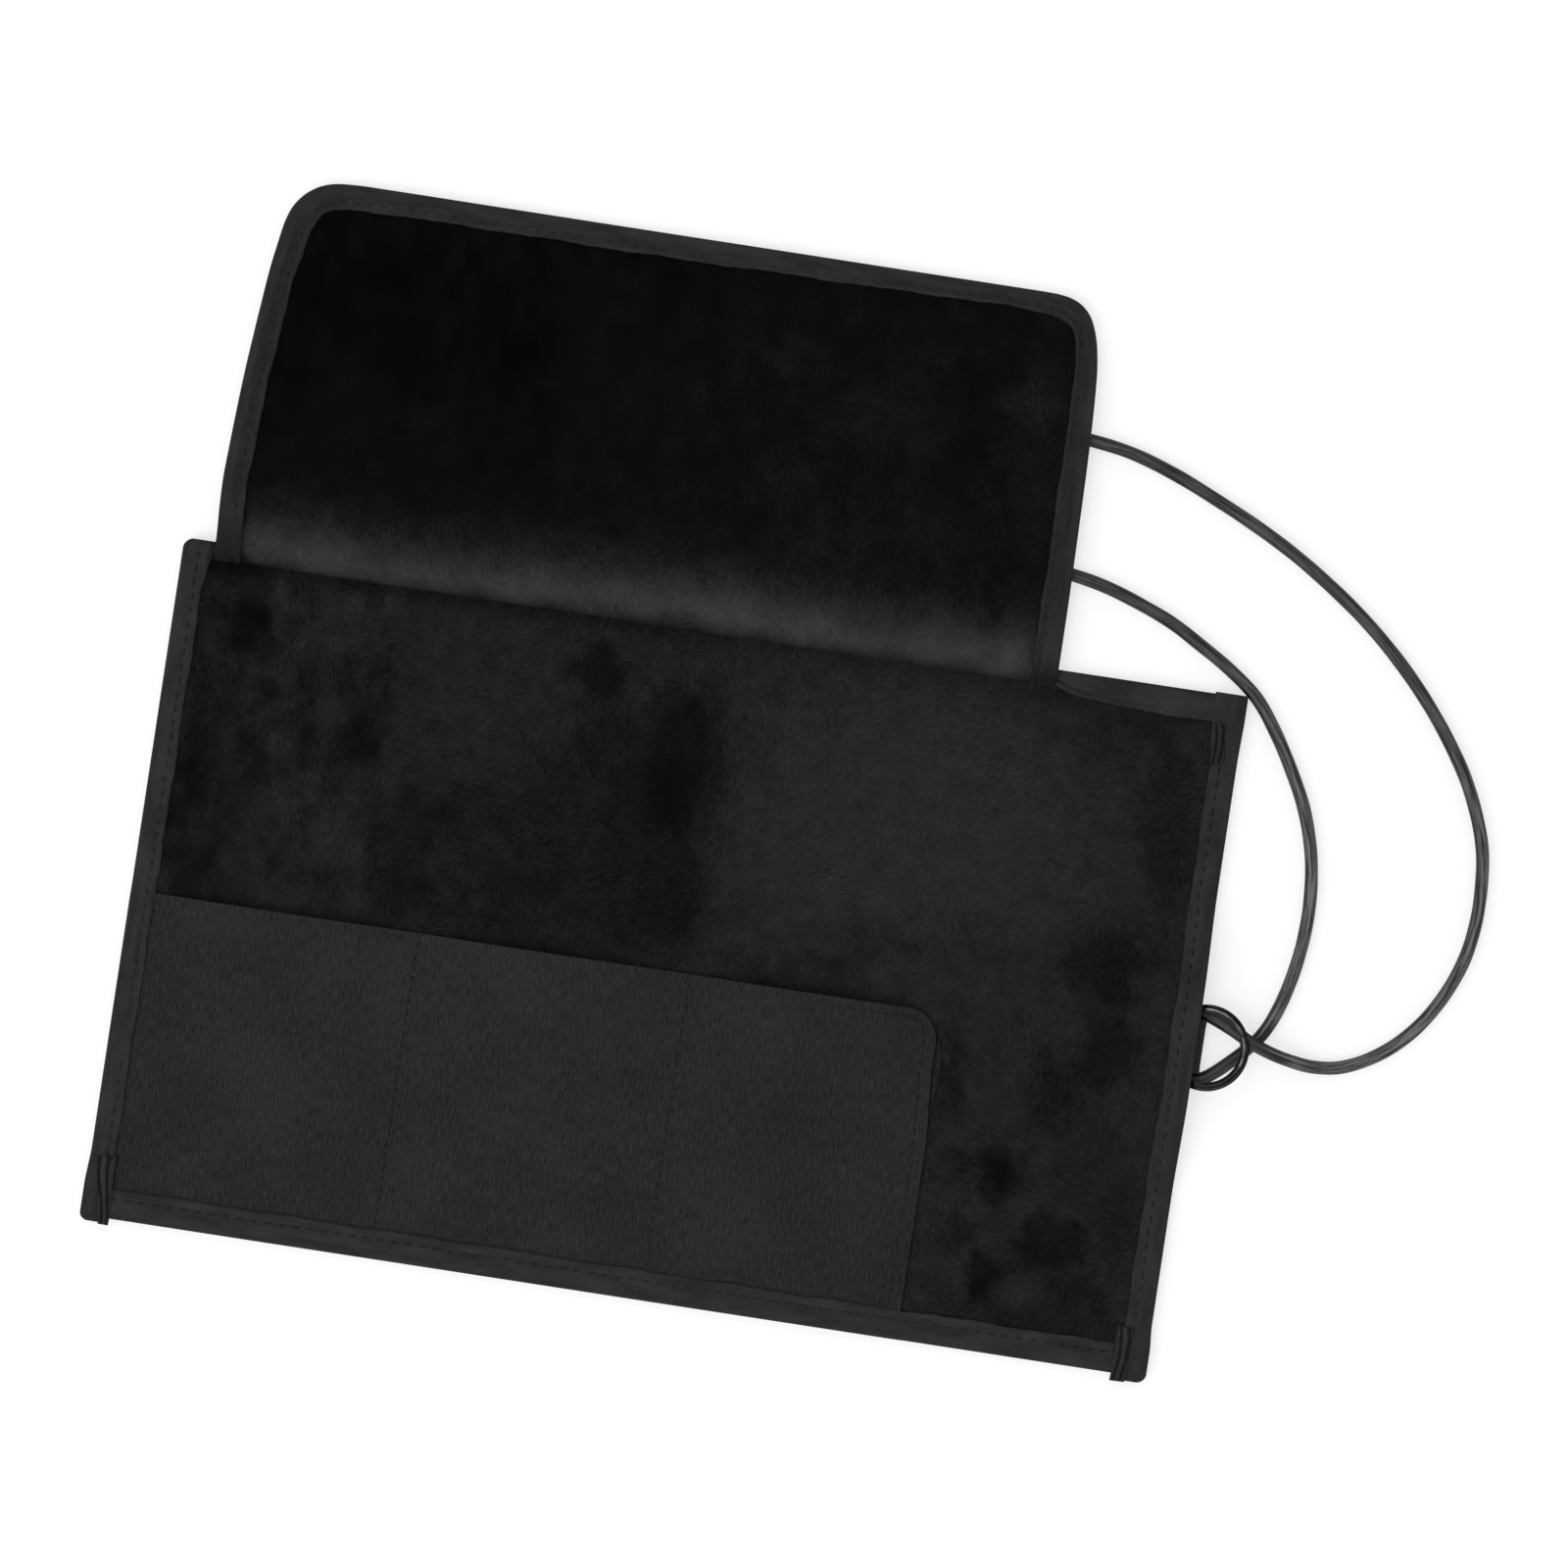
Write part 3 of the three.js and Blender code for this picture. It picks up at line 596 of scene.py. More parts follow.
# Brush marks: centre, half widths, turn in degrees, edge (2 soft, more is sharper) and gain.
PANEL_MARKS = (
    (68, 46, 55, 44, 0, 5, 6), (-100, 58, 17, 28, 8, 4, -4), (-138, 40, 17, 70, 3, 4, -7),
    (-5, 60, 15, 22, -12, 4, -5), (-28, 38, 42, 22, 28, 4, -7), (-36, 8, 52, 14, 8, 5, -5),
    (-76, 30, 15, 11, 35, 4, -8), (3, 20, 8, 24, 0, 4, -3), (-30, 64, 8, 11, -20, 4, -6),
    (-80, 11, 11, 9, 20, 4, -7), (-133, 77, 7, 8, 20, 4, -9), (-141, 92, 10, 7, 0, 3, -5),
    (-97, 55, 5, 14, -8, 4, -8), (-113, 66, 4, 9, 10, 4, -7), (-113, 47, 5, 6, 0, 3, -6),
    (-122, 38, 6, 5, 20, 3, -6), (-31, 80, 9, 7, -20, 4, -12), (-4, 74, 6, 6, 0, 3, -6),
    (-117, 14, 4, 8, 0, 3, -5), (-126, 58, 3, 5, 0, 3, -6), (-144, 30, 5, 12, 0, 3, -5),
    (-140, 6, 7, 9, 0, 3, -4), (140, 60, 9, 26, 6, 4, -8), (128, 18, 12, 13, -30, 4, -12),
    (131, -8, 8, 12, 0, 4, -12), (117, -22, 8, 14, -15, 4, -9), (128, -36, 10, 16, 0, 3, -5),
    (106, -47, 8, 9, 10, 4, -17), (122, -66, 13, 8, 10, 4, -13), (105, -78, 6, 7, -10, 4, -17),
    (132, -78, 9, 6, 10, 4, -10), (143, -55, 8, 18, 0, 3, -6), (97, -66, 8, 4, 15, 3, -8),
    # The mark at 87, -18 is painted shade beside the pocket's right edge.
    (96, -46, 5, 4, 0, 3, -8), (87, -18, 4, 17, 0, 4, -8), (120, -88, 32, 5, 0, 4, -8),
    (92, 18, 26, 9, 0, 3, -4), (60, 14, 18, 5, -8, 3, -6), (41, 1, 30, 5, 0, 3, -4),
    (120, 84, 22, 8, -8, 3, -4), (130, 90, 9, 5, 0, 3, -5), (48, 6, 5, 3, 20, 3, -8),
)
FLAP_MARKS = (
    (0, 155, 110, 42, 6, 3, 2.9), (-95, 172, 45, 22, 0, 4, -2), (88, 160, 9, 40, 3, 4, 3),
    (80, 175, 7, 7, 20, 3, 6), (64, 165, 6, 15, 2, 3, -4), (66, 183, 9, 5, 10, 3, -3),
    (40, 165, 14, 9, 12, 3, 3), (62, 133, 10, 6, -10, 3, 3), (-66, 146, 14, 26, 0, 4, -2),
    (12, 142, 9, 6, 30, 3, 3), (-18, 165, 8, 5, 0, 3, 2), (30, 128, 22, 7, 5, 3, 3),
    (79, 117, 4, 7, 0, 3, -6), (-70, 168, 9, 14, 6, 3, -2), (8, 178, 16, 5, -8, 3, 3),
)


def ragged(x, y, size, seed):
    """Brushed edges are ragged: a small sideways drift made of a few waves."""
    return size * (np.sin(x * 0.31 + y * 0.17 + seed)
                   + 0.6 * np.sin(y * 0.53 - x * 0.23 + 2.1 * seed)
                   + 0.5 * np.sin(x * 0.91 + y * 0.67 + 0.7 * seed))


def brushed(x, y, marks):
    """The summed gain of brush marks with ragged edges."""
    x, y = x + ragged(x, y, 1.8, 0.4), y + ragged(y, x, 1.8, 1.9)
    tone = np.zeros(np.shape(x))
    for centre_x, centre_y, half_x, half_y, turn, edge, gain in marks:
        c, s = math.cos(math.radians(turn)), math.sin(math.radians(turn))
        u = ((x - centre_x) * c + (y - centre_y) * s) / half_x
        v = ((y - centre_y) * c - (x - centre_x) * s) / half_y
        tone = tone + gain * np.exp(-np.hypot(u, v) ** edge)
    return tone


def mottled(x, y, width, height, seed):
    """Uneven pile: soft random patches of a given size with smaller ones among them."""
    total = np.zeros(np.shape(x))
    for size, share in ((1.0, 1.0), (0.5, 0.6)):
        lattice = np.random.default_rng(seed).uniform(-1, 1, (LATTICE, LATTICE))
        u, v = x / (width * size), y / (height * size)
        i, j = np.floor(u).astype(int), np.floor(v).astype(int)
        s, t = smooth(u - i, 0, 1), smooth(v - j, 0, 1)
        low, high = (lattice[k % LATTICE, i % LATTICE] * (1 - s)
                     + lattice[k % LATTICE, (i + 1) % LATTICE] * s for k in (j, j + 1))
        total = total + share * (low * (1 - t) + high * t)
        seed += 1
    return total


def lining_nap_and_shade(x, y):
    """How light the pile of the panel's lining lies, from 0 to about 1, with painted shade in it.
    """
    # Painted shadow under the flap's roll, deepest towards the left.
    painted_roll_shadow = 4.0 * smooth(y, 86, 96) + 5.0 * smooth(y, 90.5, 93.5) * (1 - smooth(x, -60, 40))
    # The two left sections are handled most: they are darker up to the middle fold, where the pile
    # is pressed flat in a strip, and the first is blotched upright.
    strip = near(x, -4, 12) * smooth(y, -4, 10) * (1 - smooth(y, 68, 84))
    handled = (2.0 + 5.0 * strip) * (1 - smooth(x + ragged(x, y, 0.5, 4.4), 6, 10))
    blotches = (1.2 + 3.6 * (1 - smooth(x, -98, -76))) * mottled(x, y, 4.5, 9, 5)
    return (31.0 - painted_roll_shadow - handled + blotches + brushed(x, y, PANEL_MARKS)) / NAP_FULL


def panel_layer(start, end, fold, low, high, step):
    """One cloth layer of the panel between two columns; returns its grid and its shell."""
    xs = columns(max(start, -LAYER_EDGE), min(end, LAYER_EDGE), fold, step)
    ys = np.linspace(LAYER_FOOT, LAYER_TOP, int((LAYER_TOP - LAYER_FOOT) / step))
    x, y = np.meshgrid(xs, ys)
    base = ground(x, y)
    return x, y, cloth(x, y, base + high, base + low)


for number, start, end in ZONES:
    for label, (low, high, step, finish) in LAYERS.items():
        x, y, part = panel_layer(start, end, FOLDS[number - 1], low, high, step)
        nap_and_painted_light = {"nap_and_painted_light": np.tile(lining_nap_and_shade(x, y).ravel(), 2)} if finish is VELVET else None
        made = piece(f"panel_{label}_{number}", [part], finish, nap_and_painted_light)
        across_fold(made)
        stands_for(made, label, f"{label}_{number}", f"{label}_{number + 1}")

# %% [markdown]
# ## Folded tape
# A tape is folded lengthwise round each raw edge and sewn through. Its section is a narrow C: the
# upper leg puffs a little over the padded edge and dips along the seam, a touch deeper at every
# stitch. A loft along the edge makes it, and the same function serves straight edges, the round
# corners of the flap and the short turned-over ends.

# %% Tape section
STITCH_PITCH = 4.1
SEAM_INSET = 5.0
SEAM_DENT, SEAM_PUCKER = 0.26, 0.14
TAPE_BASE, TAPE_HEIGHT = 0.15, 3.75
TAPE_PUFF, TAPE_ROUND = 0.22, 1.2


def tape_section(width, under_width, height, inset, pucker, lip):
    """One closed section: u runs in from the edge, v up. Returns (size, 2)."""
    radius = min(TAPE_ROUND, height / 2 - 0.05)
    thick = min(TAPE, height / 2.8)
    quarter = np.linspace(0, math.pi / 2, 5)
    under = np.stack([np.linspace(under_width, radius, 4), np.zeros(4)], -1)
    low = radius - radius * np.stack([np.sin(quarter[1:]), np.cos(quarter[1:])], -1)
    high = np.stack([radius - radius * np.cos(quarter),
                     height - radius + radius * np.sin(quarter)], -1)
    u = np.linspace(radius, width - 0.2, 15)[1:]
    puff = TAPE_PUFF * np.sin(np.clip((u - radius) / max(inset - radius, 0.1), 0, 1) * math.pi)
    seam = -(SEAM_DENT + pucker) * near(u, inset, 0.7)
    rolled = lip * near(u, width - 0.7, 0.6)
    upper = np.stack([u, height + puff + seam + rolled], -1)
    edge = np.array([[width, upper[-1, 1] - 0.22], [width, height - thick]])
    inner = np.array([[width * 0.55, height - thick], [thick * 1.6, height - thick],
                      [thick, height - thick * 1.35], [thick, thick * 1.35], [thick * 1.6, thick],
                      [under_width, thick]])
    return np.concatenate([under, low, high, upper, edge, inner])


def folded_tape(path, inward, width, under_width=None, base=TAPE_BASE, height=TAPE_HEIGHT,
                inset=SEAM_INSET, lip=0.12, lie=ground, along_start=0.0):
    """Tape along an edge; widths, base, height and inset are numbers or one value per point."""
    along = along_start + lengths(path)
    # Hand-guided tape is never quite even: its inner edge wanders by a fraction of a millimetre.
    width = width + (0.16 * np.sin(along * 0.19 + 1) + 0.1 * np.sin(along * 0.43)
                     + 0.06 * np.sin(along * 1.1))
    under_width = width if under_width is None else under_width
    width, under_width, base, height, inset = (
        np.broadcast_to(np.asarray(value, float), len(path))
        for value in (width, under_width, base, height, inset))
    inward = np.broadcast_to(np.asarray(inward, float), path.shape)
    pucker = SEAM_PUCKER * np.cos(2 * math.pi * along / STITCH_PITCH)
    rings = []
    for i in range(len(path)):
        section = tape_section(width[i], under_width[i], height[i], inset[i], pucker[i], lip)
        xy = path[i] + section[:, :1] * inward[i]
        z = base[i] + section[:, 1] + lie(xy[:, 0], xy[:, 1])
        rings.append(np.column_stack([xy, z]))
    first = tape_section(width[0], under_width[0], height[0], inset[0], 0, lip)
    return loft(np.array(rings), along, lengths(np.vstack([first, first[:1]])))


def straight(start, end, step=1.0):
    """Evenly spaced points on a straight line."""
    start, end = np.asarray(start, float), np.asarray(end, float)
    count = max(2, int(np.linalg.norm(end - start) / step) + 1)
    return start + np.linspace(0, 1, count)[:, None] * (end - start)


def over_pocket(x, y):
    """The tape stands higher where the pocket's cloth is caught under it."""
    return 0.75 * (1 - smooth(x, 80, 88)) * (1 - smooth(y, -6, 0))

# %% Tape along the top and bottom edges
TAPE_LEFT_END, TAPE_RIGHT_END = -148.7, 148.0
TOP_TAPE_START = -145.5
HIDDEN_TAPE_WIDTH, TOP_TAPE_WIDTH, BOTTOM_TAPE_WIDTH = 4.1, 8.3, 8.8
BOTTOM_SEAM = BOTTOM_TAPE_WIDTH - 2.9
FLAP_SIDE = 99.4
TAPE_SWEEP, LIP_SHADOW_SWEEP = 8.5, 18
# An inset past the tape's own width leaves the seam out, as where it is sewn only from below.
NO_SEAM = 20.0


def foot(x):
    """The bottom edge, which runs slightly out of square."""
    return -98.7 - 0.7 * (np.asarray(x, float) + PANEL_RIGHT) / (2 * PANEL_RIGHT)


for number, start, end in ZONES:
    start, end = max(start, TAPE_LEFT_END), min(end, TAPE_RIGHT_END)
    top_path = straight((max(start, TOP_TAPE_START), PANEL_TOP), (end, PANEL_TOP))
    # The flap covers most of the top tape; beside the flap its edge sweeps out to the full width.
    sweep = np.exp(-np.maximum(top_path[:, 0] - FLAP_SIDE, 0) / TAPE_SWEEP)
    top_width = TOP_TAPE_WIDTH - (TOP_TAPE_WIDTH - HIDDEN_TAPE_WIDTH) * sweep
    top = folded_tape(top_path, (0, -1), top_width, TOP_TAPE_WIDTH,
                      inset=NO_SEAM, lip=0.4, along_start=start)
    # A painted shadow line runs above the rolled lip of that edge.
    top_x, top_y = top[0][:, 0], top[0][:, 1]
    lip_line = PANEL_TOP - np.interp(top_x, top_path[:, 0], top_width) + 1.5
    top_lip_shadow = 0.6 * near(top_y, lip_line, 0.5)
    top_lip_shadow = top_lip_shadow * np.exp(-np.maximum(top_x - FLAP_SIDE, 0) / LIP_SHADOW_SWEEP)
    bottom_path = straight((start, foot(start)), (end, foot(end)))
    bottom = folded_tape(bottom_path, (0, 1), BOTTOM_TAPE_WIDTH, inset=BOTTOM_SEAM, lip=0.2,
                         height=TAPE_HEIGHT + over_pocket(*bottom_path.T), along_start=start)
    for edge, part, painted in (("top", top, {"fold": top_lip_shadow}), ("bottom", bottom, None)):
        made = piece(f"{edge}_tape_{number}", [part], TAPE_FINISH, painted)
        across_fold(made)
        stands_for(made, "binding", f"{edge}_binding_{number}", f"{edge}_binding_{number + 1}")

# %% Tape along the sides
LEFT_EDGE = -156.3
LEFT_TAPE_WIDTH, RIGHT_TAPE_WIDTH = 7.3, 7.8
LEFT_TAPE_FOOT, RIGHT_TAPE_FOOT = -100.0, -101.0


def side_path(edge_x, inward_x, start_y, end_y, low_round, high_round):
    """A side edge with its two outer corners rounded off."""
    path = straight((edge_x, start_y), (edge_x, end_y), 0.5)
    for end, radius in ((start_y, low_round), (end_y, high_round)):
        past = np.clip(1 - np.abs(path[:, 1] - end) / radius, 0, 0.97)
        path[:, 0] += inward_x * radius * (1 - np.sqrt(1 - past ** 2))
    return path


# Both tapes bulge a little where their ends are doubled, and the left one widens under the flap.
left_path = side_path(LEFT_EDGE, 1, LEFT_TAPE_FOOT, PANEL_TOP, 2.2, 3.0)
left_y = left_path[:, 1]
left_path[:, 0] -= 0.6 * (1 - smooth(left_y, -90, -78))
left_inner = (LEFT_EDGE + LEFT_TAPE_WIDTH + 0.9 * smooth(left_y, 83, 93)
              + 1.7 * smooth(left_y, 93, 98))
left_part = folded_tape(left_path, (1, 0), left_inner - left_path[:, 0],
                        height=TAPE_HEIGHT + over_pocket(*left_path.T))
# Painted shade under the flap's roll.
left_roll_shade = 0.7 * smooth(left_part[0][:, 0], -149.5, -147.5) * smooth(left_part[0][:, 1], 88, 94)

right_path = side_path(PANEL_RIGHT, -1, RIGHT_TAPE_FOOT, PANEL_TOP + 0.5, 2.6, 0.6)
right_y = right_path[:, 1]
right_path[:, 0] += 0.5 * (1 - smooth(right_y, -92, -84)) + 0.3 * smooth(right_y, 80, 94)
right_inner = PANEL_RIGHT - RIGHT_TAPE_WIDTH - 1.2 * smooth(right_y, 79, 93)
right_part = folded_tape(right_path, (-1, 0), right_path[:, 0] - right_inner,
                         height=TAPE_HEIGHT + 0.35 * smooth(right_y, 90.5, 92))

for side, part, painted, body in (("left", left_part, {"fold": left_roll_shade}, "panel_1"),
                                  ("right", right_part, None, "panel_4")):
    made = piece(f"{side}_tape", [part], TAPE_FINISH, painted)
    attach(made, body)
    stands_for(made, "binding", f"{side}_binding")

# %% [markdown]
# ### Turned-over tape ends
# At three corners the side tape runs past the panel, is turned over and sewn down. What shows is a
# narrow crumpled strip of doubled tape on the inner half, with upright ridges and puckered ends. It
# is a small grid of points between four corners, raised by a profile with ridges and some creases.

# %% Tape ends
STRIP_THICK = 0.85
STRIP_LIFT = 0.12
# Name, corners (outer top, inner top, inner foot, outer foot), rise above the tape, and body.
TAPE_ENDS = (
    ("tape_end_bottom_left", (-154.3, -80.6), (-148.4, -80.2), (-148.0, -100.6), (-151.1, -100.5),
     0.75, "panel_1"),
    ("tape_end_bottom_right", (150.6, -85.6), (145.8, -84.8), (146.0, -101.5), (150.4, -101.4),
     0.0, "panel_4"),
    ("tape_end_top_right", (150.6, 92.6), (146.7, 92.9), (148.0, 79.4), (152.0, 80.2),
     0.0, "panel_4"),
)


def tape_end(outer_top, inner_top, inner_foot, outer_foot, rise):
    """A crumpled strip between four corners, lying on the tape; returns its shell and its painted
    shade.
    """
    u, v = np.meshgrid(np.linspace(0, 1, 25), np.linspace(0, 1, 61))
    x, y = ((1 - v) * ((1 - u) * outer_top[k] + u * inner_top[k])
            + v * ((1 - u) * outer_foot[k] + u * inner_foot[k]) for k in (0, 1))
    x = x + 0.14 * np.sin(9 * v + 1) * (np.abs(2 * u - 1) > 0.4)
    edge = (np.clip(1 - np.abs(2 * u - 1) ** 6, 0, 1) ** 0.5
            * np.clip(1 - np.abs(2 * v - 1) ** 24, 0, 1) ** 0.5)
    wave = 2 * math.pi * (2.0 * u + 0.3 * np.sin(4.2 * v + rise)) + 1.6 * v * u
    ridges = (0.5 + 0.5 * np.cos(wave)) * (0.75 + 0.25 * np.cos(7 * v - 2 * u))
    creases = 0.12 * np.sin(31 * v + 6 * u) + 0.1 * np.sin(17 * v - 9 * u)
    puckers = 0.3 * np.exp(-v / 0.07) * np.cos(14 * u)
    height = (0.3 + 0.75 * ridges + creases + puckers) * edge * STRIP_THICK
    # Painted shade in the grooves between ridges and round the strip's edges.
    fold = 0.75 * (1 - smooth(ridges, 0.05, 0.5)) + 0.5 * (1 - smooth(edge, 0.2, 0.7))
    base = TAPE_BASE + TAPE_HEIGHT + STRIP_LIFT + rise + ground(x, y)
    # Its ribs run across the tape, so the flat map has the two directions changed over.
    part = shell(np.dstack([x, y, base + height + 0.05]), np.dstack([x, y, base]),
                 np.dstack([y, x]))
    return part, np.clip(fold, 0, 0.85)


for name, *corners, rise, body in TAPE_ENDS:
    part, fold = tape_end(*corners, rise)
    made = piece(name, [part], TAPE_FINISH, {"fold": np.tile(fold.ravel(), 2)})
    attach(made, body)
    stands_for(made, "binding")

# %% [markdown]
# ## Pockets
# One canvas panel is sewn over the lower left of the lining and divided into three pockets by two
# seams, on the same lines on which the roll folds. The mouth is hemmed and stands open a little,
# and each pocket swells between its seams. A height function gives all that: zero at the seams,
# rising to the mouth. The upper right corner is rounded by ending each column of points lower.

# %% Pocket cloth
POCKET_LEFT, POCKET_RIGHT = -149.2, 83.0
POCKET_MOUTH, POCKET_FOOT = -3.2, -91.4
POCKET_CORNER = 9.5
POCKET_CUT = CUTS[0]
POCKET_BASE, POCKET_CLOTH = 3.35, 0.6
POCKET_SEAMS = (POCKET_LEFT, FOLDS[0], FOLDS[1], POCKET_RIGHT)
POCKET_SWELL = 2.6
HEM_RISE = 0.45
HEM_INSET, EDGE_INSET = 2.4, 3.6
HEM_SEEN_FROM = 56.0


def pocket_ease(x, y):
    """How far the pocket cloth stands off the lining."""
    rise = np.zeros(np.shape(x))
    for start, end in zip(POCKET_SEAMS, POCKET_SEAMS[1:]):
        rise += smooth(x, start + 2.5, start + 22) * (1 - smooth(x, end - 22, end - 2.5)) * (
            (x >= start) & (x < end))
    wave = 1 + 0.12 * np.sin(x * 0.11 + y * 0.05)
    swell = POCKET_SWELL * rise * wave * smooth(y, POCKET_FOOT + 3, POCKET_MOUTH - 20)
    hem = HEM_RISE * smooth(y, POCKET_MOUTH - 5.2, POCKET_MOUTH - 4.0)
    edge = HEM_RISE * smooth(x, POCKET_RIGHT - 6.0, POCKET_RIGHT - 5.0)
    mouth = 0.8 * smooth(y, POCKET_MOUTH - 9, POCKET_MOUTH) * (x < POCKET_RIGHT - 4)
    dent = sum(0.5 * near(x, seam, 1.0) for seam in FOLDS[:2])
    stitched = 0.25 * np.maximum(near(y, POCKET_MOUTH - HEM_INSET, 0.7),
                                 near(x, POCKET_RIGHT - EDGE_INSET, 0.7))
    return np.maximum(swell + np.maximum(hem, edge) + mouth * rise - dent - stitched, 0)


def pocket_top(x):
    """Height of the mouth, which drops round the right-hand corner."""
    past = np.clip((np.asarray(x, float) - (POCKET_RIGHT - POCKET_CORNER)) / POCKET_CORNER, 0, 1)
    return POCKET_MOUTH - POCKET_CORNER * (1 - np.sqrt(1 - past * past))


def drawn_in(x, y):
    """The front layer is drawn in near its corner, which lets the turned-in edge show."""
    return 1.5 * smooth(x, 62, POCKET_RIGHT) * smooth(y, -44, -18)


def turned_hem():
    """The turned-in edge of the pocket, which peeps out beside the rounded corner."""
    ys = np.linspace(-62.0, POCKET_MOUTH - 6.0, 60)
    outer = POCKET_RIGHT - 0.6 + 1.5 * near(ys, -18, 15) + 0.15 * np.sin(ys * 0.9)
    outer = np.minimum(outer, POCKET_RIGHT + 1.0 - 0.45 * np.maximum(ys + 15, 0))
    inner = POCKET_RIGHT - 3.0
    share, y = np.meshgrid(np.linspace(0, 1, 18), ys)
    x = inner + share * (outer - inner)[:, None]
    base = POCKET_BASE + 0.02 + ground(x, y)
    # Painted shade all over it, with a darker painted shadow where the front layer's edge lies on
    # it.
    fold = 0.3 + 0.5 * near(x, POCKET_RIGHT - drawn_in(POCKET_RIGHT, y), 0.6)
    return cloth(x, y, base + 0.38, base), fold


def pocket_piece(name, start, end, fold):
    """One part of the pocket's cloth; the right-hand one has the round corner."""
    xs = columns(start, end, fold, step=2.2)
    if end == POCKET_RIGHT:
        corner = POCKET_CORNER * (1 - np.sin(np.linspace(0, math.pi / 2, 20)))
        xs = np.concatenate([xs[xs < POCKET_RIGHT - POCKET_CORNER], POCKET_RIGHT - corner])
    share = np.concatenate([np.linspace(0, 0.9, 44), np.linspace(0.9, 1, 15)[1:]])
    x = np.tile(xs, (len(share), 1))
    y = POCKET_FOOT + share[:, None] * (pocket_top(xs) - POCKET_FOOT)[None, :]
    under = POCKET_BASE + ground(x, y) + pocket_ease(x, y)
    grid = np.stack([x, y], -1)
    x = x - drawn_in(x, y)
    parts = [shell(np.dstack([x, y, under + POCKET_CLOTH]), np.dstack([x, y, under]), grid)]
    painted = [np.zeros(2 * x.size)]
    if end == POCKET_RIGHT:
        hem, fold = turned_hem()
        parts.append(hem)
        painted.append(np.tile(fold.ravel(), 2))
    return piece(name, parts, CANVAS, {"fold": np.concatenate(painted)})


for number, start, end in ((1, POCKET_LEFT, POCKET_CUT), (2, POCKET_CUT, POCKET_RIGHT)):
    made = pocket_piece(f"pocket_cloth_{number}", start, end, FOLDS[number - 1])
    across_fold(made)
    stands_for(made, "canvas", f"pocket_{number}", f"pocket_{number + 1}")

# %% [markdown]
# ## The flap
# The flap is a second, thinner cloth, canvas outside and velvet inside, sewn along the panel's top
# edge and folded open. It narrows towards its round-cornered tip. Its layers are divided on the two
# fold lines, because each part turns with its own section of the panel. The lining is divided a
# little to the left of them and the outside a little to the right, so that the two overlap and
# close the slit that opens when the roll is folded. Near the crease the lining rolls down in a soft
# shoulder to meet the panel, and a brushed band of pile there carries a painted highlight, with
# painted shade in the two corners where the crease ends.

# %% Flap outline and height
CREASE_Y, FLAP_TIP = 95.5, 208.3
FLAP_CORNER = 14.0
FLAP_CUTS = FOLDS[:2]
FLAP_INSET, FLAP_GAP = 0.9, 0.03
SHOULDER = 4.6
OUTLINE_STEP = 0.8
# The free edge from the left end of the crease round to the right: x, y and the tape's width.
FLAP_EDGE = (
    (-146.7, 95.1, 7.4), (-146.75, 100, 7.4), (-146.9, 104, 7.4), (-147.4, 112, 7.4),
    (-147.65, 120, 7.4), (-147.3, 130, 7.4), (-146.8, 140, 7.5), (-146.2, 150, 7.5),
    (-145.4, 160, 7.5), (-144.5, 170, 7.5), (-143.3, 182, 7.8), (-142.4, 188, 8.1),
    (-141.0, 196, 8.2), (-139.6, 200, 8.2), (-137.6, 203, 8.2), (-135.6, 205, 8.1),
    (-132.5, 207, 8.0), (-128.6, 208.3, 7.8), (-122, 208.9, 7.5), (-112, 208.95, 7.2),
    (-86, 208.85, 7.1), (-60, 208.8, 7.1), (-30, 208.7, 7.1), (0, 208.6, 6.7), (30, 208.5, 6.4),
    (60, 208.45, 5.9), (74, 208.4, 5.9), (81, 208.35, 6.3), (85, 208.15, 6.6), (88.4, 207.5, 6.8),
    (91.6, 206, 6.8), (94.4, 203.2, 6.7), (96, 200, 6.4), (97.3, 196, 6.3), (98.5, 189, 6.5),
    (99.05, 182, 6.6), (99.5, 172, 7.1), (99.9, 158, 7.4), (100.2, 140, 7.5), (100.45, 120, 7.7),
    (100.5, 104, 7.7), (100.5, 95.1, 7.7),
)
outline, outline_length = smooth_route(FLAP_EDGE, OUTLINE_STEP)
outline, outline_width = outline[:, :2], outline[:, 2]
outline_ahead = unit(np.gradient(outline, axis=0))
outline_inward = np.column_stack([outline_ahead[:, 1], -outline_ahead[:, 0]])
left_side = outline[outline[:, 0] < -112]
right_side = outline[outline[:, 0] > 78][::-1]
print("flap edge", round(outline_length[-1], 1), "mm long")


def at_tip(y):
    """0 along the flap and 1 at its tip, where it lies lowest."""
    return smooth(y, 172, 206)


def flap_sag(x, y):
    """The flap lies over the cord and sinks towards the floor at its tip and left edge."""
    tip = 3.0 * at_tip(y)
    side = 2.2 * (1 - smooth(x, -140, -98)) * smooth(y, 104, 128)
    wave = 0.25 * np.sin(x * 0.06 + 1.0) * smooth(y, 100, 130)
    return -np.maximum(tip, side) + wave


def shoulder(y):
    """How far the flap's lining has dropped at the crease: 1 at the crease, 0 past the shoulder."""
    t = np.clip((np.asarray(y, float) - CREASE_Y) / SHOULDER, 0, 1)
    return 1 - np.sqrt(1 - (1 - t) ** 2)


def flap_span(y, inset):
    """Left and right ends of a flap layer at each height, a little inside the flap's edge."""
    return (np.interp(y + inset, left_side[:, 1], left_side[:, 0]) + inset,
            np.interp(y + inset, right_side[:, 1], right_side[:, 0]) - inset)


# %% Flap cloths
LINING_TOP, LINING_CLOTH, LINING_DROP = 6.4, 0.7, 3.1
OUTSIDE_TOP, OUTSIDE_CLOTH, OUTSIDE_GAP = 5.5, 0.6, 0.1
OUTSIDE_LAP, TIP_LAP = 1.25, 2.9
BRUSHED_Y, BRUSHED_HIGHLIGHT = 101, 38.0


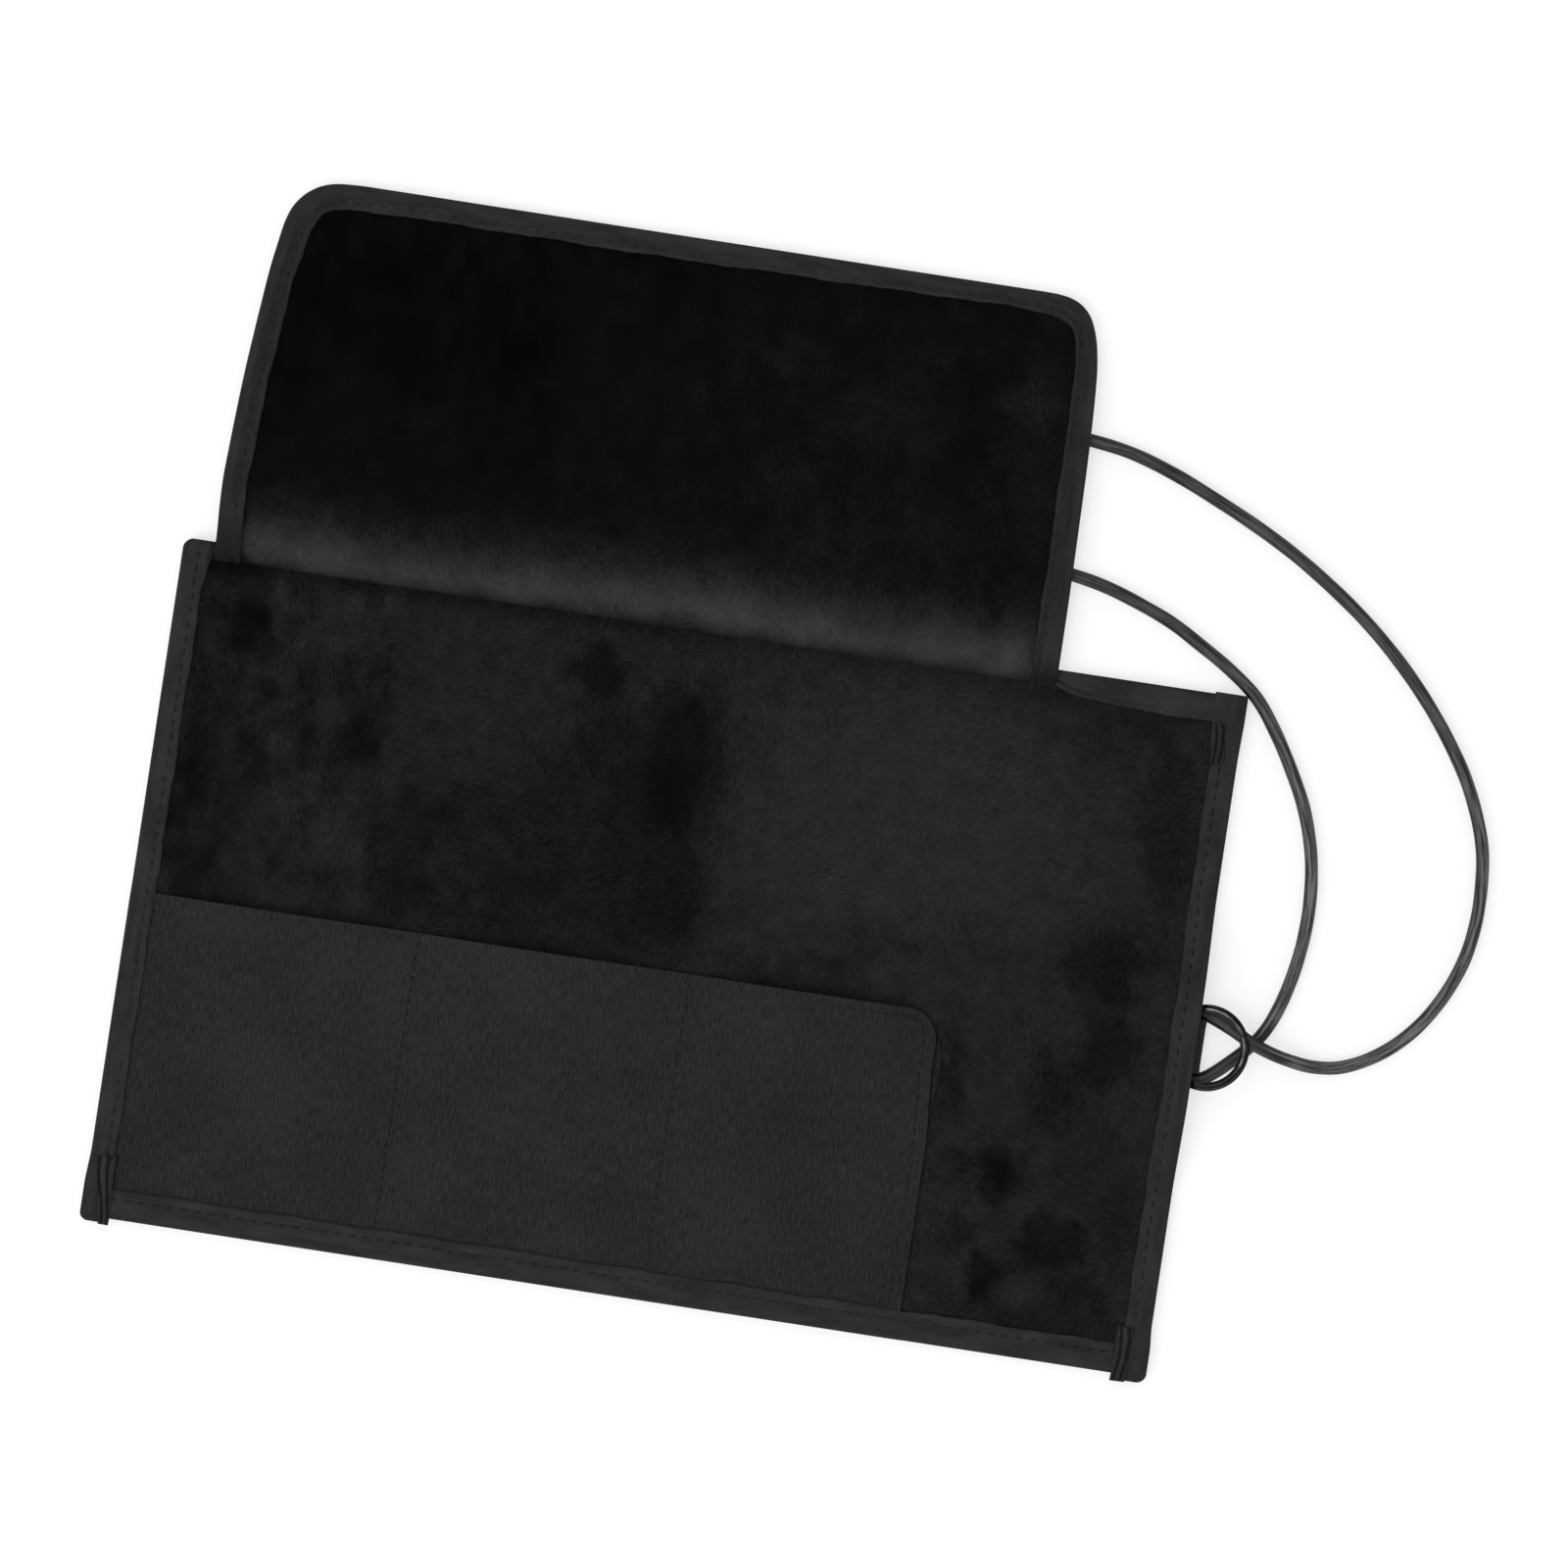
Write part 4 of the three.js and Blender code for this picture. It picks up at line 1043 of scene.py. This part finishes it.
def flap_nap_and_light(x, y):
    """The flap's pile leans away and looks black, but a brushed band above the crease has a painted
    highlight.
    """
    tone = 11.0 + 2.6 * smooth(x, -20, 70) + brushed(x, y, FLAP_MARKS)
    tone = tone + 1.9 * mottled(x, y, 5, 8, 8)
    # The band sits lowest towards the left and is broadest in the middle.
    low_left, middle = near(x, -95, 26), near(x, -8, 24)
    height = y + ragged(x, y, 0.5, 3.1) + 1.6 * low_left - 1.2 * middle
    above = np.exp(-np.abs((height - BRUSHED_Y) / 11.0) ** 1.5)
    band = np.where(height > BRUSHED_Y, above, near(height, BRUSHED_Y, 7.0))
    band = band * (1 + 0.12 * middle + 0.06 * np.sin(x * 0.09) + 0.04 * np.sin(x * 0.21 + 1))
    # Painted shade in the two corners where the crease ends: the highlight band is held back there.
    corner = smooth(x - 0.9 * np.maximum(99.5 - y, 0), -143, -136) * (1 - 0.5 * smooth(x, 88, 95))
    return (tone + BRUSHED_HIGHLIGHT * band * corner) / NAP_FULL


def lining_top(x, y):
    return LINING_TOP - LINING_DROP * shoulder(y) + flap_sag(x, y) * (1 - shoulder(y))


def lining_under(x, y):
    lowest = 3.0 + 0.25 * shoulder(y) + flap_sag(x, y) * (1 - shoulder(y))
    return np.maximum(lining_top(x, y) - LINING_CLOTH, lowest)


def lining_cut(x, y):
    """The lining is divided left of a fold line, by what its back lies below the fold's axis."""
    return x - (FOLD_Z - (LINING_TOP - LINING_CLOTH) - flap_sag(x, y))


def outside_top(x, y):
    return np.minimum(OUTSIDE_TOP + flap_sag(x, y), lining_under(x, y) - OUTSIDE_GAP)


def outside_under(x, y):
    return outside_top(x, y) - OUTSIDE_CLOTH


def outside_cut(x, y):
    """The outside is divided right of a fold line, so that it backs the slit in the lining."""
    return x + OUTSIDE_LAP + TIP_LAP * at_tip(y)


def flap_cloth(number, base_y, low_of, high_of, cut_of):
    """One flap layer of one section, from height functions; returns its grid and its shell."""
    quarter = math.pi / 2
    corner_y = FLAP_TIP - FLAP_CORNER
    ys = np.unique(np.concatenate([
        base_y + SHOULDER * (1 - np.cos(np.linspace(0, quarter, 10))),
        np.linspace(base_y + SHOULDER, corner_y, 64),
        corner_y + (FLAP_CORNER - FLAP_INSET) * np.sin(np.linspace(0, quarter * 0.97, 12))]))
    left, right = flap_span(ys, FLAP_INSET)
    if number > 1:
        left = cut_of(FLAP_CUTS[number - 2], ys) + FLAP_GAP
    if number < 3:
        right = cut_of(FLAP_CUTS[number - 1], ys)
    share, y = np.meshgrid(np.linspace(0, 1, 56), ys)
    x = left[:, None] + (right - left)[:, None] * share
    return x, y, cloth(x, y, high_of(x, y), low_of(x, y))


def across_crease(made):
    """Bakes a flap piece's placement into its mesh."""
    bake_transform(made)


# Label, first row, height functions, cut and finish of the flap's two layers.
FLAP_LAYERS = (
    ("velvet", CREASE_Y - 0.1, lining_under, lining_top, lining_cut, VELVET),
    ("canvas", CREASE_Y + 1.6, outside_under, outside_top, outside_cut, CANVAS),
)
for number in (1, 2, 3):
    for label, base_y, low_of, high_of, cut_of, finish in FLAP_LAYERS:
        x, y, part = flap_cloth(number, base_y, low_of, high_of, cut_of)
        nap_and_painted_light = {"nap_and_painted_light": np.tile(flap_nap_and_light(x, y).ravel(), 2)} if finish is VELVET else None
        made = piece(f"flap_{label}_cloth_{number}", [part], finish, nap_and_painted_light)
        across_crease(made)
        stands_for(made, label, f"flap_{label}_{number}")

# %% Flap tape
FLAP_SEAM = 2.2
# Lowest height and thickness of the folded tape, in the crease and past it.
FLAP_TAPE_BASE, FLAP_TAPE_HEIGHT = (2.7, 4.2), (0.5, 2.9)
on_top = outline[:, 1] > FLAP_TIP - 0.4
cut_lengths = [0.0, *np.interp(FLAP_CUTS, outline[on_top, 0], outline_length[on_top]),
               outline_length[-1]]


def outline_part(number):
    """The stretch of the flap's edge that belongs to one section."""
    start, end = cut_lengths[number - 1], cut_lengths[number]
    inside = outline_length[(outline_length > start + 0.2) & (outline_length < end - 0.2)]
    where = np.concatenate([[start], inside, [end]])
    found = [np.interp(where, outline_length, values)
             for values in (*outline.T, *outline_inward.T, outline_width)]
    return np.column_stack(found[:2]), np.column_stack(found[2:4]), found[4]


for number in (1, 2, 3):
    path, inward, width = outline_part(number)
    # At the crease the tape thins out and sinks into the fold.
    risen = 1 - shoulder(path[:, 1])
    tape = folded_tape(path, inward, width, base=np.interp(risen, (0, 1), FLAP_TAPE_BASE),
                       height=np.interp(risen, (0, 1), FLAP_TAPE_HEIGHT),
                       inset=width - FLAP_SEAM, lie=flap_sag, along_start=cut_lengths[number - 1])
    size = len(tape[0]) // len(path)
    x, y, width = tape[0][:, 0], tape[0][:, 1], np.repeat(width, size)
    from_edge = np.linalg.norm(tape[0][:, :2] - np.repeat(path, size, axis=0), axis=1)
    # Painted shade in the crease, and along the sides in the hollow between edge and lip.
    hollow = smooth(from_edge, 1.2, 3.8) * (1 - 0.4 * smooth(from_edge, width - 1.5, width - 0.5))
    on_side = smooth(y, 106, 122) * (1 - 0.65 * smooth(y, 196, 204))
    fold = 0.3 * hollow * on_side + 0.62 * (1 - smooth(y, 95, np.where(x < 0, 112, 106)))
    made = piece(f"flap_tape_{number}", [tape], TAPE_FINISH, {"fold": fold})
    across_crease(made)
    stands_for(made, "binding", f"flap_binding_{number}")

# %% [markdown]
# ## Loop and split ring
# A short band of the same tape is sewn under the edge; the doubled cord turns through it. The split
# ring is two flat turns of lacquered steel wire that lie on each other, with the stepped ends that
# let it be opened. It is a section carried round twice while it climbs by one wire.

# %% Loop
LOOP_LEFT, LOOP_RIGHT = 137.5, 158.5
LOOP_HEIGHT, LOOP_HALF_WIDTH, LOOP_TAPE, LOOP_CORNER = 6.3, 7.9, 0.6, 2.0
LOOP_EASE, SELVEDGE = 0.1, 0.12


def loop_band():
    """A flat tape carried round a rounded rectangle that stands on the floor."""
    left, right = LOOP_LEFT + LOOP_CORNER, LOOP_RIGHT - LOOP_CORNER
    low, high = LOOP_CORNER, LOOP_HEIGHT - LOOP_CORNER
    line = []
    for x, z, first in ((left, low, 2), (right, low, 3), (right, high, 0), (left, high, 1)):
        turn = np.linspace(first, first + 1, 7) * math.pi / 2
        line.append(np.column_stack([x + LOOP_CORNER * np.cos(turn), z + LOOP_CORNER * np.sin(turn),
                                     np.cos(turn), np.sin(turn)]))
    line = np.concatenate(line + [line[0][:1]])
    along = lengths(line[:, :2])
    even = np.linspace(0, along[-1], 70)
    line = np.column_stack([np.interp(even, along, line[:, k]) for k in range(4)])
    normal = unit(line[:, 2:])
    across = np.linspace(-LOOP_HALF_WIDTH, LOOP_HALF_WIDTH, 14)
    selvedge = SELVEDGE * near(np.abs(across), LOOP_HALF_WIDTH - 0.8, 0.6)
    outer, inner = (np.stack(np.broadcast_arrays(
        line[:, :1] - normal[:, :1] * depth, KNOT_Y + across,
        line[:, 1:2] - normal[:, 1:] * depth), -1)
        for depth in (LOOP_EASE - selvedge, np.full(len(across), LOOP_TAPE)))
    return shell(outer, inner, np.stack(np.broadcast_arrays(even[:, None], across[None, :]), -1))


loop = piece("cord_loop", [loop_band()], LOOP_FINISH)
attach(loop, "panel_4")
stands_for(loop, "binding", "closure_loop")

# %% [markdown]
# ### Lacquered steel
# The ring is spring steel with a glossy black lacquer. It mirrors the pale room softly. The cord
# leaves fine scratches that run round it, and a painted highlight runs along the upper turn's edge.

# %% Lacquered steel
def ring_material():
    material, tree = new_material("black lacquered steel")
    flat = node(tree, "ShaderNodeUVMap", uv_map="flat")
    # Scratches are about 6 mm long and 0.15 mm apart.
    scratch = noise(tree, flat, (6, 0.15), 3.0)
    rough = ranged(tree, scratch, 0.35, 0.7, 0.08, 0.18)
    lacquer = mix(tree, scratch, "#0c0c0c", "#222222")
    # A painted highlight, given by a painted value, is broken up into patches of about 2.5 mm.
    bare = ranged(tree, noise(tree, flat, 2.5, 3.0), 0.3, 0.65, 0.2, 1.0)
    share = maths(tree, "MULTIPLY", paint(tree, "painted_highlight"), bare)
    colour = mix(tree, share, lacquer, "#8c8c8a")
    return surface(material, {
        "Base Color": colour, "Roughness": rough, "Metallic": 1.0}, (scratch, 0.1, 0.0001))


RING_FINISH = ring_material()

# %% Split ring
RING_OUTER, RING_WIRE, RING_TURN, RING_SPLAY = 12.6, 1.6, 0.75, 0.5
RING_TILT = math.radians(13.5)
RING_CENTRE = (159.1, KNOT_Y, 6.6)
RING_START, HIGHLIGHT_TOWARDS = math.radians(25), math.radians(45)


def split_ring():
    """Two turns of rounded wire, each end stepped onto the other; returns the loft and its painted
    highlight.
    """
    angle = np.linspace(RING_START, RING_START + 4 * math.pi, 240)
    turns = (angle - angle[0]) / (2 * math.pi)
    step = 2 * smooth(turns, 0.93, 1.07) - 1
    turn = np.linspace(0, 2 * math.pi, 21)[:-1]
    # A rounded oblong: the wire is drawn flat, with soft edges that catch the light.
    section = np.column_stack([size / 2 * np.sign(wave) * np.abs(wave) ** 0.8 for size, wave in (
        (RING_WIRE, np.cos(turn)), (RING_TURN, np.sin(turn)))])
    middle = RING_OUTER - RING_WIRE / 2 - RING_SPLAY
    r = middle - (RING_SPLAY * step)[:, None] + section[None, :, 0]
    z = (RING_TURN / 2 * 1.03 * step)[:, None] + section[None, :, 1]
    x, y = r * np.cos(angle)[:, None], r * np.sin(angle)[:, None]
    tilted = np.stack([x * math.cos(RING_TILT) - z * math.sin(RING_TILT), y,
                       x * math.sin(RING_TILT) + z * math.cos(RING_TILT)], -1)
    around = lengths(np.vstack([section, section[:1]]))
    # A painted highlight lies on the upper turn's outer edge, 0.5 mm round the wire, towards the
    # cord.
    painted_highlight = smooth(turns, 1.0, 1.05) * smooth(np.cos(angle - HIGHLIGHT_TOWARDS), 0.1, 0.6)
    painted_highlight = painted_highlight[:, None] * near(around[:-1], 0.5, 0.22)
    return loft(tilted + np.array(RING_CENTRE), angle * middle, around), painted_highlight


ring_part, ring_highlight = split_ring()
ring = piece("key_ring", [ring_part], RING_FINISH, {"painted_highlight": ring_highlight.ravel()})
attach(ring, "ring")
stands_for(ring, "ring", "split_ring")

# %% [markdown]
# ### Thread
# All seams are sewn with a black polyester thread, which is a little shinier than the cloth.

# %% Thread
def thread_material():
    material, tree = new_material("polyester sewing thread")
    place = node(tree, "ShaderNodeTexCoord").outputs["Object"]
    # The twist of the thread is about 0.5 mm.
    twist = node(tree, "ShaderNodeTexNoise", {"Vector": place, "Scale": 1 / 0.0005, "Detail": 1.0})
    return surface(material, {
        "Base Color": mix(tree, twist, "#050505", "#151514"), "Roughness": 0.6,
        "Specular IOR Level": 0.12})


THREAD = thread_material()

# %% [markdown]
# ## Stitches
# Every seam is a row of stitches, the same small form repeated hundreds of times, which is what
# Geometry Nodes are for. The tree takes a line, sets points on it one stitch apart, and lays a
# small arched thread on each, turned along the line with a slight wobble. The result is turned
# into a plain mesh for each body, so that it can ride or bend with the cloth it is sewn through.

# %% Stitch tree
def stitch_tree():
    """The tree of nodes that sews a line, and its inputs' identifiers by name."""
    tree = bpy.data.node_groups.new("row of stitches", "GeometryNodeTree")
    tree.interface.new_socket("Seam", in_out="INPUT", socket_type="NodeSocketGeometry")
    kinds = dict.fromkeys(("Pitch", "Length", "Width", "Height"), "NodeSocketFloat")
    kinds["Thread"] = "NodeSocketMaterial"
    inputs = {label: tree.interface.new_socket(label, in_out="INPUT", socket_type=kind).identifier
              for label, kind in kinds.items()}
    tree.interface.new_socket("Stitches", in_out="OUTPUT", socket_type="NodeSocketGeometry")
    given = node(tree, "NodeGroupInput").outputs
    line = node(tree, "GeometryNodeMeshToCurve", {"Mesh": given["Seam"]})
    spaced = node(tree, "GeometryNodeResampleCurve", {
        "Curve": line, "Length": given["Pitch"]}, mode="LENGTH")
    # One stitch of unit size: an arched thread whose two ends dive into the cloth.
    arch = node(tree, "GeometryNodeCurveQuadraticBezier", {
        "Resolution": 6, "Start": (-0.48, 0.0, -0.6), "Middle": (0.0, 0.0, 0.7),
        "End": (0.48, 0.0, -0.6)})
    round_thread = node(tree, "GeometryNodeCurvePrimitiveCircle", {"Resolution": 6, "Radius": 0.5})
    form = node(tree, "GeometryNodeCurveToMesh", {
        "Curve": arch, "Profile Curve": round_thread, "Fill Caps": True})
    size = node(tree, "ShaderNodeCombineXYZ", {
        "X": given["Length"], "Y": given["Width"], "Z": given["Height"]})
    # No two stitches are pulled equally tight.
    tightness = node(tree, "FunctionNodeRandomValue", {
        "Min": (0.7, 0.85, 0.35), "Max": (1.1, 1.1, 1.1), "Seed": 3}, data_type="FLOAT_VECTOR")
    pulled = node(tree, "ShaderNodeVectorMath", {0: size, 1: tightness}, operation="MULTIPLY")
    tangent = node(tree, "GeometryNodeInputTangent")
    turned = node(tree, "FunctionNodeAlignRotationToVector", {"Vector": tangent}, axis="X")
    wobble = node(tree, "FunctionNodeRandomValue", {
        "Min": (0.0, 0.0, -0.09), "Max": (0.0, 0.0, 0.15), "Seed": 7}, data_type="FLOAT_VECTOR")
    # A seam's back, marked with a value named "under", has the same stitches upside down.
    under = node(tree, "GeometryNodeInputNamedAttribute", {"Name": "under"}, data_type="FLOAT")
    over = node(tree, "ShaderNodeVectorMath", {
        0: (math.pi, 0.0, 0.0), "Scale": under}, operation="SCALE")
    turn = node(tree, "ShaderNodeVectorMath", {0: wobble, 1: over}, operation="ADD")
    as_turn = node(tree, "FunctionNodeEulerToRotation", {"Euler": turn})
    laid = node(tree, "FunctionNodeRotateRotation", {
        "Rotation": turned, "Rotate By": as_turn}, rotation_space="LOCAL")
    sewn = node(tree, "GeometryNodeInstanceOnPoints", {
        "Points": spaced, "Instance": form, "Rotation": laid, "Scale": pulled})
    real = node(tree, "GeometryNodeRealizeInstances", {"Geometry": sewn})
    coloured = node(tree, "GeometryNodeSetMaterial", {
        "Geometry": real, "Material": given["Thread"]})
    node(tree, "NodeGroupOutput", {"Stitches": coloured})
    return tree, inputs


STITCHES, STITCH_INPUT = stitch_tree()
print("stitch inputs", list(STITCH_INPUT))

# %% Sewing
THREAD_HEIGHT = 0.4
# Pitch, length and width of a stitch.
TAPE_STITCH = (STITCH_PITCH, 2.5, 0.6)
POCKET_STITCH = (3.2, 1.9, 0.65)


def sew(name, seams, backs, stitch=TAPE_STITCH):
    """Rows of stitches along seams and along their backs, as one plain mesh."""
    points, edges, under = [], [], []
    for seam, side in [(seam, 0.0) for seam in seams] + [(seam, 1.0) for seam in backs]:
        first = len(points)
        points += row(seam).tolist()
        under += [side] * len(seam)
        edges += [(first + i, first + i + 1) for i in range(len(seam) - 1)]
    mesh = bpy.data.meshes.new(name)
    mesh.from_pydata(points, edges, [])
    mesh.attributes.new("under", "FLOAT", "POINT").data.foreach_set("value", under)
    line = bpy.data.objects.new(name, mesh)
    bpy.context.collection.objects.link(line)
    modifier = line.modifiers.new("stitches", "NODES")
    modifier.node_group = STITCHES
    for label, value in zip(("Pitch", "Length", "Width", "Height"), (*stitch, THREAD_HEIGHT)):
        modifier[STITCH_INPUT[label]] = value * MM
    modifier[STITCH_INPUT["Thread"]] = THREAD
    bpy.context.view_layer.update()
    evaluated = line.evaluated_get(bpy.context.evaluated_depsgraph_get())
    sewn = bpy.data.meshes.new_from_object(evaluated)
    sewn.polygons.foreach_set("use_smooth", np.ones(len(sewn.polygons), bool))
    bpy.data.objects.remove(line)
    made = bpy.data.objects.new(name, sewn)
    bpy.context.collection.objects.link(made)
    stands_for(made, "binding")
    return made

# %% Seams of the panel
THREAD_SINK = 0.02
TAPE_SEAM_TOP = TAPE_BASE + TAPE_HEIGHT - SEAM_DENT
TAPE_SEAM_UNDER = 0.28
CANVAS_SEAM = LAYERS["canvas"][0] - 0.03
TOP_SEAM_Y = PANEL_TOP - 5.6


def on_panel(xy, height):
    """Seam points at a height above the panel's underside."""
    return np.column_stack([xy, height + ground(*xy.T)])


def on_pocket(xy):
    """Seam points on the front of the pocket's cloth."""
    placed = on_panel(xy, POCKET_BASE + POCKET_CLOTH + pocket_ease(*xy.T) + THREAD_SINK)
    placed[:, 0] -= drawn_in(*xy.T)
    return placed


for number, start, end in ZONES:
    start, end = max(start, TAPE_LEFT_END + 1), min(end, TAPE_RIGHT_END - 1)
    bottom = straight((start, foot(start) + BOTTOM_SEAM), (end, foot(end) + BOTTOM_SEAM))
    top = straight((start, TOP_SEAM_Y), (end, TOP_SEAM_Y))
    made = sew(f"panel_stitches_{number}",
               [on_panel(bottom, TAPE_SEAM_TOP + over_pocket(*bottom.T))],
               [on_panel(bottom, TAPE_SEAM_UNDER), on_panel(top, TAPE_SEAM_UNDER)])
    across_fold(made)

# The hem of the mouth is sewn blind. Its stitches come to the front only near the rounded corner.
hem_y, edge_x = POCKET_MOUTH - HEM_INSET, POCKET_RIGHT - EDGE_INSET
corner_x, corner_y = POCKET_RIGHT - POCKET_CORNER, POCKET_MOUTH - POCKET_CORNER
hem_turn = np.linspace(math.pi / 2, 0, 10)
hem_corner = np.column_stack([corner_x + (POCKET_CORNER - EDGE_INSET) * np.cos(hem_turn),
                              corner_y + (POCKET_CORNER - HEM_INSET) * np.sin(hem_turn)])
hem = np.concatenate([straight((HEM_SEEN_FROM, hem_y), (corner_x, hem_y))[:-1], hem_corner,
                      straight((edge_x, corner_y), (edge_x, POCKET_FOOT))[1:]])
for number, others in ((1, []), (2, [hem])):
    fold = FOLDS[number - 1]
    divider = straight((fold, POCKET_MOUTH - 0.5), (fold, POCKET_FOOT))
    made = sew(f"pocket_stitches_{number}", [on_pocket(seam) for seam in (divider, *others)],
               [on_panel(divider, CANVAS_SEAM)], POCKET_STITCH)
    across_fold(made)

# %% Seams of the sides, the loop and the flap
for name, seam_x, low, high, body in (
    ("left_stitches", LEFT_EDGE + SEAM_INSET, -79.0, 96.0, "panel_1"),
    ("right_stitches", PANEL_RIGHT - SEAM_INSET, -83.0, 78.0, "panel_4"),
):
    seam = straight((seam_x, low), (seam_x, high))
    made = sew(name, [on_panel(seam, TAPE_SEAM_TOP + over_pocket(*seam.T))],
               [on_panel(seam, TAPE_SEAM_UNDER)])
    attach(made, body)

LOOP_SEAM_X = 138.2
tack = straight((LOOP_SEAM_X, -7.5), (LOOP_SEAM_X, 12.0))
loop_stitches = sew("loop_stitches", [on_panel(tack, LAYERS["velvet"][1] + 0.05)],
                    [on_panel(tack, CANVAS_SEAM)], POCKET_STITCH)
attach(loop_stitches, "panel_4")

FLAP_SEAM_START = CREASE_Y + 7
FLAP_SEAM_TOP = FLAP_TAPE_BASE[1] + FLAP_TAPE_HEIGHT[1] - 0.34
FLAP_SEAM_UNDER = FLAP_TAPE_BASE[1] + 0.05
for number in (1, 2, 3):
    path, inward, width = outline_part(number)
    seam = path + inward * (width - FLAP_SEAM)[:, None]
    seam = seam[seam[:, 1] > FLAP_SEAM_START]
    lie = flap_sag(*seam.T)
    made = sew(f"flap_stitches_{number}", [np.column_stack([seam, FLAP_SEAM_TOP + lie])],
               [np.column_stack([seam, FLAP_SEAM_UNDER + lie])])
    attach(made, f"flap_{number}")

# %% [markdown]
# ## Floor and light
# The roll lies on a plain white floor in a bright, even studio. A pale room lights it from all
# sides, one wide lamp overhead, on the pockets' side, gives the soft shadows, and a small one gives
# leather and steel a highlight. To the camera and in reflections the room is plain white; its light
# on the cloth is weaker than that. The floor is treated alike: what is seen of it is mostly plain
# white, so the shadow stays as faint as on a light table, and the light it throws back is that of
# the paper.

# %% Floor
FLOOR_WHITE = 0.65
FLOOR_HALF, FLOOR_DROP = 4.0, 0.0001


def seen_directly(tree):
    """Nodes that give 1 to the camera, reflections and glass, and 0 to light on the cloth."""
    ray = node(tree, "ShaderNodeLightPath").outputs
    shown = maths(tree, "MAXIMUM", ray["Is Camera Ray"], ray["Is Glossy Ray"])
    return maths(tree, "MAXIMUM", shown, ray["Is Transmission Ray"])


def floor_material():
    material, tree = new_material("white paper floor")
    place = node(tree, "ShaderNodeTexCoord").outputs["Object"]
    # The tooth of the paper is about 2 mm and very faint.
    tooth = node(tree, "ShaderNodeTexNoise", {"Vector": place, "Scale": 1 / 0.002, "Detail": 2.0})
    paper = node(tree, "ShaderNodeBsdfPrincipled", {
        "Base Color": mix(tree, tooth, "#fdfdfd", "#ffffff"), "Roughness": 0.9,
        "Specular IOR Level": 0.0})
    white = node(tree, "ShaderNodeEmission", {"Color": linear("#ffffff"), "Strength": 1.0})
    share = maths(tree, "MULTIPLY", seen_directly(tree), FLOOR_WHITE)
    shown = node(tree, "ShaderNodeMixShader", {0: share, 1: paper, 2: white})
    node(tree, "ShaderNodeOutputMaterial", {"Surface": shown})
    return material


floor_mesh = bpy.data.meshes.new("floor")
floor_mesh.from_pydata([(x * FLOOR_HALF, y * FLOOR_HALF, 0) for x, y in (
    (-1, -1), (1, -1), (1, 1), (-1, 1))], [], [(0, 1, 2, 3)])
floor_mesh.materials.append(floor_material())
floor = bpy.data.objects.new("floor", floor_mesh)
floor.location.z = -FLOOR_DROP
bpy.context.collection.objects.link(floor)
print("floor", 2 * FLOOR_HALF, "m wide")

# %% Lamps and room
ROOM_LIGHT = 0.72
# Name, power in watts, width and depth in metres, place and tilt in degrees.
LAMPS = (
    ("overhead lamp", 18.0, 1.6, 1.2, (-0.75, -0.75, 1.6), (24, -24)),
    ("highlight lamp", 2.0, 0.3, 0.3, (-0.4, 0.7, 1.5), (-24, -14)),
)
world = bpy.data.worlds.new("pale room")
world.use_nodes = True
world.node_tree.nodes.clear()
strength = ranged(world.node_tree, seen_directly(world.node_tree), 0.0, 1.0, ROOM_LIGHT, 1.0)
room = node(world.node_tree, "ShaderNodeBackground", {
    "Color": linear("#ffffff"), "Strength": strength})
node(world.node_tree, "ShaderNodeOutputWorld", {"Surface": room})
bpy.context.scene.world = world

for name, power, width, depth, place, (tilt_x, tilt_y) in LAMPS:
    lamp_data = bpy.data.lights.new(name, "AREA")
    lamp_data.shape = "RECTANGLE"
    lamp_data.size, lamp_data.size_y = width, depth
    lamp_data.energy = power
    lamp = bpy.data.objects.new(name, lamp_data)
    lamp.location = place
    lamp.rotation_euler = (math.radians(tilt_x), math.radians(tilt_y), 0)
    bpy.context.collection.objects.link(lamp)
    print(name, power, "W")
